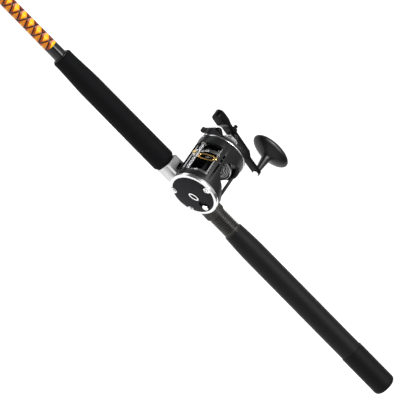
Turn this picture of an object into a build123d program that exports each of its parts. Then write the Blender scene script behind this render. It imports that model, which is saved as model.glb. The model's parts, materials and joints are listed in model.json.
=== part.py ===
from build123d import *

import math
import os

# Boat fishing rod with a star-drag level-wind reel, in millimetres.
# +X runs from the butt to the tip along the rod's axis, +Z is up through the reel
# and +Y is the reel's left side; the handle is on the -Y side.
# The origin is the centre of the butt's end face.

os.makedirs("parts", exist_ok=True)

# ---------------------------------------------------------------- driving dimensions
rod_length = 1680.0            # butt face to tip-top
blank_radius = 8.8             # parallel butt end of the blank
cap_radius = 16.1
cap_end = 67.4                 # front rim of the butt cap
rear_grip_end = 296.4
seat_end = 426.0
front_hood_start = 405.5
hood_end = 427.0
foregrip_end = 626.4
trim_end = 646.0               # black binding in front of the foregrip
diamond_period = 13.9          # length of one diamond of the butt wrap
diamond_count = 13
wrap_height = 0.65             # thread and clear coat over the blank

spool_x = 387.2                # spool axis along the rod
spool_z = 49.5                 # spool axis above the rod's axis
side_radius = 34.3             # polished rings of the side plates
frame_radius = 33.8
frame_bore = 29.0
left_inner = 26.8              # frame window, between the frame's two rings
right_inner = -23.4
left_outer = 36.2
right_outer = -35.0

flange_radius = 25.8
flange_thickness = 5.5
spool_right = -19.5
spool_left = 22.9
arbor_radius = 11.5
shaft_radius = 3.0

crank_dx = -2.0                # handle axis, from the spool axis
gear_module = 0.5
main_teeth = 65
pinion_teeth = 13
wind_module = 0.6              # small gears that turn the level-wind worm
wind_spool_teeth = 12
wind_idler_teeth = 37
wind_worm_teeth = 16
worm_dx = 29.6
worm_dz = 7.2
worm_radius = 2.3
top_rod_dx = 11.4
top_rod_dz = 28.6
carriage_y = -3.5

arm_reach = 65.5               # handle axis to knob axis
arm_slope = 13.0               # degrees that the knob end hangs below the handle axis
star_radius = 24.5
ratchet_radius = 9.6

gear_distance = (main_teeth + pinion_teeth) * gear_module / 2
crank_dz = -math.sqrt(gear_distance**2 - crank_dx**2)


# ---------------------------------------------------------------- shared helpers
def across(y, dx=0.0, dz=0.0):
    """Plane square to the spool axis at Y = y, facing the handle; its X is +X and its Y is +Z."""
    return Plane(origin=(spool_x + dx, y, spool_z + dz), x_dir=(1, 0, 0), z_dir=(0, -1, 0))


def along(x):
    """Plane square to the rod at X = x, facing the tip; its X is +Y and its Y is +Z."""
    return Plane(origin=(x, 0, 0), x_dir=(0, 1, 0), z_dir=(1, 0, 0))


def lathe(outline, axis, plane, mode):
    """Revolve a closed outline of (length, radius) or (length, radius, corner radius) points."""
    corners = [point[2] if len(point) > 2 else 0 for point in outline]
    with BuildSketch(plane) as profile:
        with BuildLine():
            FilletPolyline(*[point[:2] for point in outline], radius=corners, close=True)
        make_face()
    revolve(profile.sketch, axis=axis, mode=mode)


def rod_lathe(outline, mode=Mode.ADD):
    """Turn an outline of (x, radius) points about the rod's axis."""
    lathe(outline, Axis.X, Plane.XZ, mode)


def reel_lathe(outline, dx=0.0, dz=0.0, mode=Mode.ADD):
    """Turn an outline of (y, radius) points about a cross axis of the reel."""
    centre = (spool_x + dx, 0, spool_z + dz)
    plane = Plane(origin=centre, x_dir=(0, 1, 0), z_dir=(1, 0, 0))
    lathe(outline, Axis(centre, (0, 1, 0)), plane, mode)


def disc(y, thickness, radius, dx=0.0, dz=0.0, mode=Mode.ADD):
    """Round plate or hole across the reel, from Y = y outboard by its thickness."""
    with BuildSketch(across(y, dx, dz)) as face:
        Circle(radius)
    extrude(face.sketch, amount=thickness, mode=mode)


def rod_between(start, end, radius, mode=Mode.ADD):
    """Straight round bar from one point to another."""
    run = Vector(*end) - Vector(*start)
    with BuildSketch(Plane(origin=start, z_dir=run.normalized())) as face:
        Circle(radius)
    extrude(face.sketch, amount=run.length, mode=mode)


def polar(radius, angle):
    """Point at a radius and an angle in degrees from +X towards +Z."""
    return radius * math.cos(math.radians(angle)), radius * math.sin(math.radians(angle))


def gear_outline(teeth, module, first_tooth):
    """Corners of a spur gear whose first tooth points at first_tooth degrees."""
    pitch_radius = teeth * module / 2
    step = 360 / teeth
    flank = ((-1.25, -0.29), (1.0, -0.11), (1.0, 0.11), (-1.25, 0.29))
    return [
        polar(pitch_radius + height * module, first_tooth + (tooth + side) * step)
        for tooth in range(teeth)
        for height, side in flank
    ]


def gear(y, thickness, teeth, module, first_tooth, dx=0.0, dz=0.0, mode=Mode.ADD):
    """Spur gear from Y = y outboard by its thickness."""
    with BuildSketch(across(y, dx, dz)) as face:
        with BuildLine():
            Polyline(*gear_outline(teeth, module, first_tooth), close=True)
        make_face()
    extrude(face.sketch, amount=thickness, mode=mode)


def bearing_angle(dx, dz):
    """Angle in degrees of a direction across the reel."""
    return math.degrees(math.atan2(dz, dx))


def meshing_tooth(teeth, first_tooth, angle, mate_teeth):
    """First-tooth angle of a mate that lies at an angle from a gear, in mesh with it."""
    step = 360 / teeth
    ahead = (first_tooth - angle) % step
    return angle + 180 - ahead * teeth / mate_teeth + 180 / mate_teeth


def blank_surface(x):
    """Radius of the blank's outside at X = x."""
    stations = blank_stations
    for (x0, r0), (x1, r1) in zip(stations, stations[1:]):
        if x0 <= x <= x1:
            return r0 + (r1 - r0) * (x - x0) / (x1 - x0)
    return stations[-1][1]


# ---------------------------------------------------------------- rod: blank and grips
blank_stations = [
    (8.0, blank_radius),
    (620.0, blank_radius),
    (trim_end, 8.45),
    (740.0, 8.15),
    (1160.0, 6.2),
    (1425.0, 4.2),
    (rod_length - 12.0, 2.5),
]
blank_wall = 1.6
tip_wall = 1.0
last_station = blank_stations[-1]

with BuildPart() as blank:
    rod_lathe(
        blank_stations
        + [(last_station[0], last_station[1] - tip_wall)]
        + [(x, radius - blank_wall) for x, radius in reversed(blank_stations[:-1])]
    )
blank.part.label = "blank"
export_step(blank.part, "parts/blank.step")

# Rubber cap over the butt end; the grip's spigot fills its bore.
cap_floor = 6.0
cap_bore = 14.0
with BuildPart() as butt_cap:
    rod_lathe(
        [(0, 0), (0, cap_radius, 6.5), (cap_end + 1.3, cap_radius, 1.0)]
        + [(cap_end + 1.3, cap_bore), (cap_floor, cap_bore), (cap_floor, 0)]
    )
butt_cap.part.label = "butt_cap"
export_step(butt_cap.part, "parts/butt_cap.step")

# Long rear grip, slim where it meets the reel seat.
grip_start = cap_end + 1.3
grip_radius = 15.3
with BuildPart() as rear_grip:
    with BuildSketch(Plane.XZ) as grip_profile:
        with BuildLine():
            Polyline(
                (rear_grip_end, 13.65),
                (rear_grip_end, blank_radius),
                (8.0, blank_radius),
                (8.0, cap_bore),
                (grip_start, cap_bore),
                (grip_start, grip_radius),
                (240.0, grip_radius),
            )
            Spline((240.0, grip_radius), (266.7, 15.1), (283.0, 14.4), (rear_grip_end, 13.65),
                   tangents=((1, 0), (1, -0.06)))
        make_face()
    revolve(axis=Axis.X)
rear_grip.part.label = "rear_grip"
export_step(rear_grip.part, "parts/rear_grip.step")

# Plain rings that finish the ends of the grips.
check_width = 1.2
with BuildPart() as winding_checks:
    rod_lathe(
        [(rear_grip_end, blank_radius), (rear_grip_end, 13.2, 0.4)]
        + [(rear_grip_end + check_width, 13.2, 0.4), (rear_grip_end + check_width, blank_radius)]
    )
    rod_lathe(
        [(foregrip_end, blank_surface(foregrip_end)), (foregrip_end, 11.2, 0.4)]
        + [(foregrip_end + check_width, 10.6, 0.3)]
        + [(foregrip_end + check_width, blank_surface(foregrip_end + check_width))]
    )
winding_checks.part.label = "winding_checks"
export_step(winding_checks.part, "parts/winding_checks.step")

# ---------------------------------------------------------------- reel seat
seat_start = rear_grip_end + check_width
seat_radius = 12.0
thread_radius = 12.2
thread_root = 11.3
thread_pitch = 3.0
thread_turns = 14
thread_start = seat_start + 2.0
foot_bottom = 12.15
tongue_top = 14.0
tongue_half = 9.0
foot_front = 420.0
foot_rear = 344.0
hood_gap = 0.35

with BuildPart() as reel_seat:
    rod_lathe(
        [(seat_start, blank_radius), (seat_start, thread_radius, 0.5)]
        + [(thread_start + thread_turns * thread_pitch, thread_radius)]
        + [(thread_start + thread_turns * thread_pitch, seat_radius), (seat_end, seat_radius)]
        + [(seat_end, blank_radius)]
    )
    for turn in range(thread_turns):
        groove = thread_start + turn * thread_pitch
        rod_lathe(
            [(groove, thread_radius + 1), (groove + 0.6, thread_root), (groove + 1.4, thread_root)]
            + [(groove + 2.0, thread_radius + 1)],
            mode=Mode.SUBTRACT,
        )
reel_seat.part.label = "reel_seat"
export_step(reel_seat.part, "parts/reel_seat.step")

# Hoods: a round sleeve with a raised pad over the foot's tongue.
pad_half = 10.2
pad_top = 15.9
hood_radius = 14.4


def hood(start, length, radius, bore, pocket_from, pocket_to, tongue_space):
    """Sleeve round the seat with a pad and a pocket that takes a tongue of the reel foot."""
    with BuildSketch(along(start)) as body:
        Circle(radius)
        with Locations((0, (pad_top + 8) / 2)):
            RectangleRounded(2 * pad_half, pad_top - 8, 1.6)
    extrude(body.sketch, amount=length)
    with BuildSketch(along(start)) as hole:
        Circle(bore)
    extrude(hole.sketch, amount=length, mode=Mode.SUBTRACT)
    with BuildSketch(along(pocket_from)) as pocket:
        Circle(tongue_top + tongue_space)
        with Locations((0, pad_top / 2)):
            Rectangle(2 * (tongue_half + tongue_space), pad_top, mode=Mode.INTERSECT)
    extrude(pocket.sketch, amount=pocket_to - pocket_from, mode=Mode.SUBTRACT)


window_x = 414.0
window_length = 4.0
window_width = 12.0
with BuildPart() as front_hood:
    hood(front_hood_start, hood_end - front_hood_start, hood_radius, seat_radius,
         front_hood_start, foot_front + 0.1, 0.1)
    with BuildSketch(Plane.XY.offset(foot_bottom)) as window:
        with Locations((window_x, 0)):
            SlotOverall(window_width, window_length, rotation=90)
    extrude(window.sketch, amount=pad_top, mode=Mode.SUBTRACT)
    front_rims = front_hood.edges().filter_by(lambda edge: edge.center().X > hood_end - 0.01)
    outer_rims = front_rims.filter_by(lambda edge: edge.length > 12.0)
    chamfer(outer_rims.sort_by(SortBy.LENGTH)[-1], 0.8)
front_hood.part.label = "front_hood"
export_step(front_hood.part, "parts/front_hood.step")

hood_start = 340.0
hood_length = 15.5
slide_radius = 13.7
with BuildPart() as sliding_hood:
    hood(hood_start, hood_length, slide_radius, thread_radius + 0.1,
         foot_rear - hood_gap, hood_start + hood_length, hood_gap)
sliding_hood.part.label = "sliding_hood"
export_step(sliding_hood.part, "parts/sliding_hood.step")

nut_start = 329.6
nut_length = 10.2
flute_count = 24
with BuildPart() as lock_nut:
    rod_lathe(
        [(nut_start, thread_radius + 0.1), (nut_start, slide_radius, 0.8)]
        + [(nut_start + nut_length, slide_radius, 0.5), (nut_start + nut_length, thread_radius + 0.1)]
    )
    with BuildSketch(along(nut_start + 2.0)) as flutes:
        with PolarLocations(slide_radius + 0.35, flute_count):
            Circle(0.8)
    extrude(flutes.sketch, amount=nut_length - 4.0, mode=Mode.SUBTRACT)
lock_nut.part.label = "lock_nut"
export_step(lock_nut.part, "parts/lock_nut.step")

# ---------------------------------------------------------------- foregrip and bindings
with BuildPart() as foregrip:
    with BuildSketch(Plane.XZ) as foregrip_profile:
        with BuildLine():
            Line((hood_end, blank_radius), (hood_end, 10.5))
            JernArc((hood_end, 10.5), (0, 1), 5.5, -90)
            Polyline((hood_end + 5.5, 16.0), (470.0, 15.95), (565.0, 15.75))
            Spline((565.0, 15.75), (585.0, 15.25), (603.5, 14.35), (621.0, 13.9))
            Spline((621.0, 13.9), (624.8, 13.4), (foregrip_end, 12.0))
            Polyline(
                (foregrip_end, 12.0),
                (foregrip_end, blank_surface(foregrip_end)),
                (620.0, blank_radius),
                (hood_end, blank_radius),
            )
        make_face()
    revolve(axis=Axis.X)
foregrip.part.label = "foregrip"
export_step(foregrip.part, "parts/foregrip.step")

trim_start = foregrip_end + check_width
with BuildPart() as foregrip_binding:
    rod_lathe(
        [(trim_start, blank_surface(trim_start)), (trim_start, blank_surface(trim_start) + 0.7, 0.3)]
        + [(trim_end, blank_surface(trim_end) + 0.6), (trim_end, blank_surface(trim_end))]
    )
foregrip_binding.part.label = "foregrip_binding"
export_step(foregrip_binding.part, "parts/foregrip_binding.step")

wrap_end = trim_end + diamond_count * diamond_period
with BuildPart() as butt_wrap:
    rod_lathe(
        [(trim_end, blank_surface(trim_end)), (trim_end, blank_surface(trim_end) + wrap_height)]
        + [(740.0, blank_surface(740.0) + wrap_height), (wrap_end, blank_surface(wrap_end) + wrap_height)]
        + [(wrap_end, blank_surface(wrap_end)), (740.0, blank_surface(740.0))]
    )
butt_wrap.part.label = "butt_wrap"
export_step(butt_wrap.part, "parts/butt_wrap.step")

# ---------------------------------------------------------------- line guides
# Each guide: position along the rod, inner radius of its ring.
guides = [(905.0, 9.0), (1085.0, 7.0), (1240.0, 5.6), (1370.0, 5.0), (1480.0, 4.5), (1580.0, 4.2)]
ring_wall = 1.5
ring_width = 2.6
insert_wall = 1.1
insert_width = 3.4
leg_radius = 1.1
foot_length = 17.0
foot_thickness = 1.2
binding_length = 20.0


def ring_height(x, inner):
    """Height of a guide ring's centre above the rod's axis."""
    return blank_surface(x) + 3.5 + 1.75 * inner


for number, (guide_x, inner) in enumerate(guides, start=1):
    outer = inner + insert_wall + ring_wall
    centre_z = ring_height(guide_x, inner)
    spread = 1.5 * inner + 9.0
    with BuildPart() as guide:
        with BuildSketch(along(guide_x - ring_width / 2)) as ring_face:
            with Locations((0, centre_z)):
                Circle(outer)
                Circle(inner + insert_wall, mode=Mode.SUBTRACT)
        extrude(ring_face.sketch, amount=ring_width)
        for way in (-1, 1):
            toe_x = guide_x + way * spread
            toe_z = blank_surface(toe_x) + foot_thickness / 2 + 0.1
            for side in (-1, 1):
                hip = (guide_x, side * (outer - ring_wall / 2) * 0.94, centre_z - outer * 0.34)
                rod_between((toe_x, side * 0.9, toe_z + 0.3), hip, leg_radius)
            heel = toe_x - way * 2.0
            with BuildSketch(Plane.XY.offset(toe_z - foot_thickness / 2)) as sole:
                with Locations((heel + way * foot_length / 2, 0)):
                    SlotOverall(foot_length, 3.6)
            extrude(sole.sketch, amount=foot_thickness)
        rod_between((guide_x - insert_width, 0, centre_z), (guide_x + insert_width, 0, centre_z),
                    inner + insert_wall, mode=Mode.SUBTRACT)
        rod_lathe(
            [(guide_x - 2 * spread, 0), (guide_x - 2 * spread, blank_surface(guide_x - 2 * spread) + 0.05)]
            + [(guide_x + 2 * spread, blank_surface(guide_x + 2 * spread) + 0.05)]
            + [(guide_x + 2 * spread, 0)],
            mode=Mode.SUBTRACT,
        )
    guide.part.label = f"guide_{number}"
    export_step(guide.part, f"parts/guide_{number}.step")

# Thread bindings that hold both feet of every guide.
with BuildPart() as guide_bindings:
    for guide_x, inner in guides:
        spread = 1.5 * inner + 9.0
        for way in (-1, 1):
            near = guide_x + way * (spread + 1.5)
            far = near + way * binding_length
            low, high = min(near, far), max(near, far)
            rise = 0.35 + foot_thickness
            rod_lathe(
                [(low, blank_surface(low)), (low, blank_surface(low) + 0.5)]
                + [(low + 4.0, blank_surface(low) + rise), (high - 4.0, blank_surface(high) + rise)]
                + [(high, blank_surface(high) + 0.5), (high, blank_surface(high))]
            )
guide_bindings.part.label = "guide_bindings"
export_step(guide_bindings.part, "parts/guide_bindings.step")

# Tip-top: a tube glued over the blank's end that carries the last ring.
tip_inner = 4.0
tip_tube_start = rod_length - 24.0
tip_ring_x = rod_length - 3.0
tip_tube_radius = 3.6
tip_ring_z = 8.6
tip_outer = tip_inner + insert_wall + ring_wall
with BuildPart() as tip_top:
    rod_lathe(
        [(tip_tube_start, 3.05), (tip_tube_start, tip_tube_radius)]
        + [(rod_length - 8.0, tip_tube_radius, 1.0), (rod_length - 8.0, 0)]
        + [(last_station[0], 0), (last_station[0], 3.05)]
    )
    rod_between((tip_ring_x - ring_width / 2, 0, tip_ring_z), (tip_ring_x + ring_width / 2, 0, tip_ring_z),
                tip_outer)
    for side in (-1, 1):
        rod_between((tip_tube_start + 3.0, side * 2.6, 2.2),
                    (tip_ring_x, side * (tip_outer - 1.4), tip_ring_z - 1.5), leg_radius)
    rod_between((rod_length - 10.0, 0, 0.5), (tip_ring_x, 0, tip_ring_z - tip_outer + 1.0), 1.6)
    rod_between((tip_ring_x - ring_width / 2 - 1, 0, tip_ring_z), (rod_length, 0, tip_ring_z),
                tip_inner + insert_wall, mode=Mode.SUBTRACT)
    rod_between((tip_tube_start - 1, 0, 0), (last_station[0], 0, 0), 3.05, mode=Mode.SUBTRACT)
tip_top.part.label = "tip_top"
export_step(tip_top.part, "parts/tip_top.step")

# Polished ceramic inserts, one in every ring.
ring_places = [(x, ring_height(x, inner), inner) for x, inner in guides]
ring_places.append((tip_ring_x, tip_ring_z, tip_inner))
with BuildPart() as ring_inserts:
    for ring_x, centre_z, inner in ring_places:
        half = min(insert_width / 2, rod_length - ring_x)
        ring_axis = Axis((ring_x, 0, centre_z), (1, 0, 0))
        ring_plane = Plane(origin=(ring_x, 0, centre_z), x_dir=(1, 0, 0), z_dir=(0, -1, 0))
        lathe(
            [(-half, inner + insert_wall), (-half, inner, 0.5), (half, inner, 0.5)]
            + [(half, inner + insert_wall)],
            ring_axis, ring_plane, Mode.ADD,
        )
ring_inserts.part.label = "ring_inserts"
export_step(ring_inserts.part, "parts/ring_inserts.step")

# ---------------------------------------------------------------- reel foot
stand_top = 14.6
stand_low = 366.0
stand_high = 405.0
stand_half = 11.0
foot_screw_radius = 1.3
with BuildPart() as reel_foot:
    with BuildSketch(along(foot_rear)) as tongue:
        Circle(tongue_top)
        with Locations((0, tongue_top)):
            Rectangle(2 * tongue_half, 2 * tongue_top, mode=Mode.INTERSECT)
    extrude(tongue.sketch, amount=foot_front - foot_rear)
    with BuildSketch(Plane.XY.offset(9.0)) as stand:
        with Locations(((stand_low + stand_high) / 2, 0)):
            RectangleRounded(stand_high - stand_low, 2 * stand_half, 3.0)
    extrude(stand.sketch, amount=stand_top - 9.0)
    with BuildSketch(along(foot_rear - 1)) as saddle:
        Circle(foot_bottom)
    extrude(saddle.sketch, amount=foot_front - foot_rear + 2, mode=Mode.SUBTRACT)
    with BuildSketch(Plane.XY) as below:
        with Locations((spool_x, 0)):
            Rectangle(100, 60)
    extrude(below.sketch, amount=7.0, mode=Mode.SUBTRACT)
    with BuildSketch(Plane.XY) as foot_shank_holes:
        with Locations((spool_x, 0)):
            with GridLocations(24, 12, 2, 2):
                Circle(foot_screw_radius)
    extrude(foot_shank_holes.sketch, amount=stand_top + 1, mode=Mode.SUBTRACT)
reel_foot.part.label = "reel_foot"
export_step(reel_foot.part, "parts/reel_foot.step")

# ---------------------------------------------------------------- reel frame
# One moulding: two rings joined by a shell that is open in front for the level wind and
# behind for the thumb, leaving a bridge on top and a floor below.
shell_bore = 30.3
lobe_radius = 5.6
window_low = -18.0             # front window, degrees from +X towards +Z
window_high = 71.0
thumb_middle = 140.0
screw_boss = 4.2
left_screws = [(96.0, 26.2), (-53.0, 28.4), (-124.0, 29.4)]      # angle, radius
right_screws = [(52.0, 30.8), (104.0, 30.8), (154.0, 30.8), (201.0, 30.8)]
screw_radius = 1.5
head_radius = 2.7


def radial_plane(angle):
    """Plane through the spool axis that faces out at an angle; its X is -Y, its Y rises from +X."""
    facing_x, facing_z = polar(1.0, angle)
    return Plane(origin=(spool_x, 0, spool_z), x_dir=(0, -1, 0), z_dir=(facing_x, 0, facing_z))


def turned_edge(facing, angle):
    """Height, on the radial plane at a facing angle, of the shell's point at another angle."""
    return frame_radius * math.sin(math.radians(facing - angle))


window_middle = (window_low + window_high) / 2
window_rise = turned_edge(window_middle, window_low)
bridge_edge = turned_edge(thumb_middle, 88.0)      # rear edge of the bridge, mid-span
flare_edge = turned_edge(thumb_middle, 116.0)      # where the bridge meets the rings
thumb_bottom = turned_edge(thumb_middle, 229.0)
span_middle = (left_inner + right_inner) / 2
pillar_dx = -31.2
pillar_radius = 2.2

with BuildPart() as frame:
    disc(left_outer, left_outer - right_outer, frame_radius)
    with BuildSketch(Plane.XY.offset(stand_top)) as stand_block:
        with Locations(((stand_low + stand_high) / 2, 0)):
            RectangleRounded(stand_high - stand_low, 2 * stand_half, 3.0)
    extrude(stand_block.sketch, amount=9.4)
    disc(left_outer, left_outer - right_outer, frame_bore, mode=Mode.SUBTRACT)
    disc(left_inner, left_inner - right_inner, shell_bore, mode=Mode.SUBTRACT)
    with BuildSketch(radial_plane(window_middle)) as front_window:
        with Locations((-span_middle, 0)):
            Rectangle(left_inner - right_inner, 2 * window_rise)
    extrude(front_window.sketch, amount=2 * frame_radius, mode=Mode.SUBTRACT)
    with BuildSketch(radial_plane(thumb_middle)) as thumb_opening:
        with BuildLine():
            low_left = (-left_inner, thumb_bottom)
            low_right = (-right_inner, thumb_bottom)
            flare_left = (-left_inner + 6.5, flare_edge)
            flare_right = (-right_inner - 6.5, flare_edge)
            Polyline(flare_left, (-left_inner, flare_edge - 9), low_left, low_right,
                     (-right_inner, flare_edge - 9), flare_right)
            ThreePointArc(flare_left, (-span_middle, bridge_edge), flare_right)
        make_face()
    extrude(thumb_opening.sketch, amount=2 * frame_radius, mode=Mode.SUBTRACT)
    with BuildSketch(radial_plane(81.0)) as bridge_slot:
        with Locations((-span_middle, 0)):
            SlotOverall(33.0, 2.8)
    extrude(bridge_slot.sketch, amount=2 * frame_radius, mode=Mode.SUBTRACT)
    disc(left_inner, left_inner - right_inner, pillar_radius, pillar_dx, 0)
    for top, thickness in ((left_outer, left_outer - left_inner), (right_inner, right_inner - right_outer)):
        disc(top, thickness, lobe_radius, worm_dx, worm_dz)
    for angle, radius in left_screws:
        disc(left_outer, left_outer - left_inner, screw_boss, *polar(radius, angle))
        disc(left_outer, 8.0, screw_radius, *polar(radius, angle), mode=Mode.SUBTRACT)
    for angle, radius in right_screws:
        disc(right_outer + 8.0, 8.0, screw_radius, *polar(radius, angle), mode=Mode.SUBTRACT)
    disc(31.2, 31.2 - right_outer, 3.6, worm_dx, worm_dz, mode=Mode.SUBTRACT)
    for rod_dx, rod_dz, rod_radius in ((top_rod_dx, top_rod_dz, 1.0), (31.2, -2.2, 0.9)):
        disc(30.8, 30.8 + 27.4, rod_radius, rod_dx, rod_dz, mode=Mode.SUBTRACT)
    with BuildSketch(Plane.XY.offset(stand_top)) as foot_holes:
        with Locations((spool_x, 0)):
            with GridLocations(24, 12, 2, 2):
                Circle(foot_screw_radius)
    extrude(foot_holes.sketch, amount=5.0, mode=Mode.SUBTRACT)
frame.part.label = "frame"
export_step(frame.part, "parts/frame.step")

# ---------------------------------------------------------------- left side plate
ring_face_y = 41.3
lobe_y = 41.9
face_radius = 30.2
bearing_outer = 5.0
bearing_width = 4.0
left_bearing_y = 38.0
button_dx = -23.0
button_dz = 2.5
button_travel = 5.0


def lobe_sketch(extra):
    """Three lobes that carry the plate screws, grown by an extra margin."""
    for angle, radius in left_screws:
        with Locations(polar((radius + 31.0) / 2, angle)):
            SlotCenterToCenter(31.0 - radius, 2 * (screw_boss + 0.2 + extra), rotation=angle)


with BuildPart() as left_ring:
    reel_lathe([(left_outer, face_radius), (left_outer, side_radius, 0.6)]
               + [(ring_face_y, side_radius, 1.6), (ring_face_y, face_radius)])
    with BuildSketch(across(lobe_y)) as lobes:
        lobe_sketch(0.0)
        Circle(side_radius - 1.0, mode=Mode.INTERSECT)
    extrude(lobes.sketch, amount=lobe_y - left_outer)
    for angle, radius in left_screws:
        disc(lobe_y + 1, 10.0, screw_radius, *polar(radius, angle), mode=Mode.SUBTRACT)
left_ring.part.label = "left_ring"
export_step(left_ring.part, "parts/left_ring.step")

with BuildPart() as left_plate:
    reel_lathe(
        [(43.4, 0), (43.4, 13.0), (42.8, 22.0), (ring_face_y + 0.3, face_radius, 0.8)]
        + [(left_outer, face_radius), (left_outer, 27.6), (39.4, 26.6), (39.4, 7.0)]
        + [(34.0, 6.6), (34.0, bearing_outer), (left_bearing_y, bearing_outer), (left_bearing_y, 0)]
    )
    with BuildSketch(across(lobe_y + 2)) as notches:
        lobe_sketch(0.08)
    extrude(notches.sketch, amount=10, mode=Mode.SUBTRACT)
    with BuildSketch(across(45.0)) as recess:
        with Locations((button_dx + button_travel / 2, button_dz)):
            SlotCenterToCenter(button_travel, 11.4)
    extrude(recess.sketch, amount=4.0, mode=Mode.SUBTRACT)
    with BuildSketch(across(45.0)) as slot:
        with Locations((button_dx + button_travel / 2, button_dz)):
            SlotCenterToCenter(button_travel, 3.8)
    extrude(slot.sketch, amount=10.0, mode=Mode.SUBTRACT)
left_plate.part.label = "left_plate"
export_step(left_plate.part, "parts/left_plate.step")

# Plain oval badge on the plate.
with BuildPart() as badge:
    with BuildSketch(across(44.0, -2.0, 1.0)) as badge_face:
        Ellipse(7.5, 4.4, rotation=-20)
        Ellipse(5.6, 2.6, rotation=-20, mode=Mode.SUBTRACT)
    extrude(badge_face.sketch, amount=0.6)
badge.part.label = "badge"
export_step(badge.part, "parts/badge.step")

# Clicker: a round button outside, whose tongue reaches for the spool's click wheel.
click_y = 32.8
with BuildPart() as clicker:
    disc(44.6, 3.3, 4.4, button_dx, button_dz)
    fillet(clicker.edges().filter_by(GeomType.CIRCLE).sort_by(Axis.Y)[-1], 0.8)
    disc(41.3, 9.7, 1.5, button_dx, button_dz)
    with BuildSketch(across(click_y)) as tongue_face:
        with BuildLine():
            Polyline((button_dx - 2.4, button_dz - 2.2), (button_dx + 4, button_dz - 2.2),
                     (-13.4, 0.6), (-13.4, 1.8), (button_dx + 4, button_dz + 2.2),
                     (button_dx - 2.4, button_dz + 2.2), close=True)
        make_face()
    extrude(tongue_face.sketch, amount=1.2)
clicker.part.label = "clicker"
export_step(clicker.part, "parts/clicker.step")

# ---------------------------------------------------------------- spool and its bearings
with BuildPart() as spool_bearings:
    for start_y in (left_bearing_y, -33.4):
        disc(start_y, bearing_width, bearing_outer)
        disc(start_y, bearing_width, shaft_radius + 0.03, mode=Mode.SUBTRACT)
spool_bearings.part.label = "spool_bearings"
export_step(spool_bearings.part, "parts/spool_bearings.step")

right_line_face = spool_right + flange_thickness
left_line_face = spool_left - flange_thickness
with BuildPart() as spool:
    reel_lathe(
        [(spool_right, shaft_radius), (spool_right, 8.0), (spool_right + 2.6, 9.0)]
        + [(spool_right + 2.6, 20.5), (spool_right, 22.5), (spool_right, flange_radius, 1.0)]
        + [(right_line_face, flange_radius, 0.8), (right_line_face, 23.2), (right_line_face - 0.8, 22.6)]
        + [(right_line_face - 0.8, 19.4), (right_line_face, 18.8), (right_line_face, 16.0)]
        + [(right_line_face + 0.8, 15.2), (right_line_face + 0.8, arbor_radius, 1.5)]
        + [(left_line_face - 0.8, arbor_radius, 1.5), (left_line_face - 0.8, 15.2)]
        + [(left_line_face, 16.0), (left_line_face, 18.8), (left_line_face + 0.8, 19.4)]
        + [(left_line_face + 0.8, 22.6), (left_line_face, 23.2), (left_line_face, flange_radius, 0.8)]
        + [(spool_left, flange_radius, 1.0), (spool_left, 22.5), (spool_left - 2.6, 20.5)]
        + [(spool_left - 2.6, 9.0), (spool_left, 8.0), (spool_left, shaft_radius)]
    )
spool.part.label = "spool"
export_step(spool.part, "parts/spool.step")

# Click wheel pressed on a hub beside the spool.
with BuildPart() as click_wheel:
    disc(31.6 + 1.2, 1.2, 6.2)
    with BuildSketch(across(click_y)) as click_teeth:
        with BuildLine():
            Polyline(*gear_outline(16, 0.85, 0), close=True)
        make_face()
    extrude(click_teeth.sketch, amount=1.2)
    disc(31.6, 31.6 - spool_left, 4.8)
    disc(34.0, 20.0, shaft_radius, mode=Mode.SUBTRACT)
click_wheel.part.label = "click_wheel"
export_step(click_wheel.part, "parts/click_wheel.step")

# Spool shaft with the level-wind drive pinion and the tongue that the main pinion grips.
wind_y = -38.2
wind_width = 2.8
with BuildPart() as spool_shaft:
    disc(37.7, 37.7 - wind_y, shaft_radius)
    gear(wind_y, wind_width, wind_spool_teeth, wind_module, 0)
    disc(wind_y - wind_width, 51.4 - 41.0, 1.5)
    with BuildSketch(across(-42.5)) as tongue_key:
        Rectangle(2.1, 4.6)
    extrude(tongue_key.sketch, amount=1.1)
spool_shaft.part.label = "spool_shaft"
export_step(spool_shaft.part, "parts/spool_shaft.step")

# ---------------------------------------------------------------- level wind
wind_spool_distance = (wind_spool_teeth + wind_idler_teeth) * wind_module / 2
wind_worm_distance = (wind_idler_teeth + wind_worm_teeth) * wind_module / 2
worm_distance = math.hypot(worm_dx, worm_dz)
idler_reach = (worm_distance**2 + wind_spool_distance**2 - wind_worm_distance**2) / (2 * worm_distance)
idler_rise = math.sqrt(wind_spool_distance**2 - idler_reach**2)
idler_dx = (idler_reach * worm_dx - idler_rise * worm_dz) / worm_distance
idler_dz = (idler_reach * worm_dz + idler_rise * worm_dx) / worm_distance
idler_tooth = meshing_tooth(wind_spool_teeth, 0, bearing_angle(idler_dx, idler_dz), wind_idler_teeth)
to_worm = bearing_angle(worm_dx - idler_dx, worm_dz - idler_dz)
worm_tooth = meshing_tooth(wind_idler_teeth, idler_tooth, to_worm, wind_worm_teeth)
idler_stud = 1.5

with BuildPart() as idler_gear:
    gear(wind_y, wind_width, wind_idler_teeth, wind_module, idler_tooth, idler_dx, idler_dz)
    disc(wind_y + 1, wind_width + 2, idler_stud + 0.06, idler_dx, idler_dz, mode=Mode.SUBTRACT)
idler_gear.part.label = "idler_gear"
export_step(idler_gear.part, "parts/idler_gear.step")

with BuildPart() as worm_gear:
    gear(wind_y, wind_width, wind_worm_teeth, wind_module, worm_tooth, worm_dx, worm_dz)
    disc(wind_y + 1, wind_width + 2, worm_radius, worm_dx, worm_dz, mode=Mode.SUBTRACT)
worm_gear.part.label = "worm_gear"
export_step(worm_gear.part, "parts/worm_gear.step")

with BuildPart() as worm_shaft:
    disc(31.0, 31.0 + 41.2, worm_radius, worm_dx, worm_dz)
worm_shaft.part.label = "worm_shaft"
export_step(worm_shaft.part, "parts/worm_shaft.step")

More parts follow.
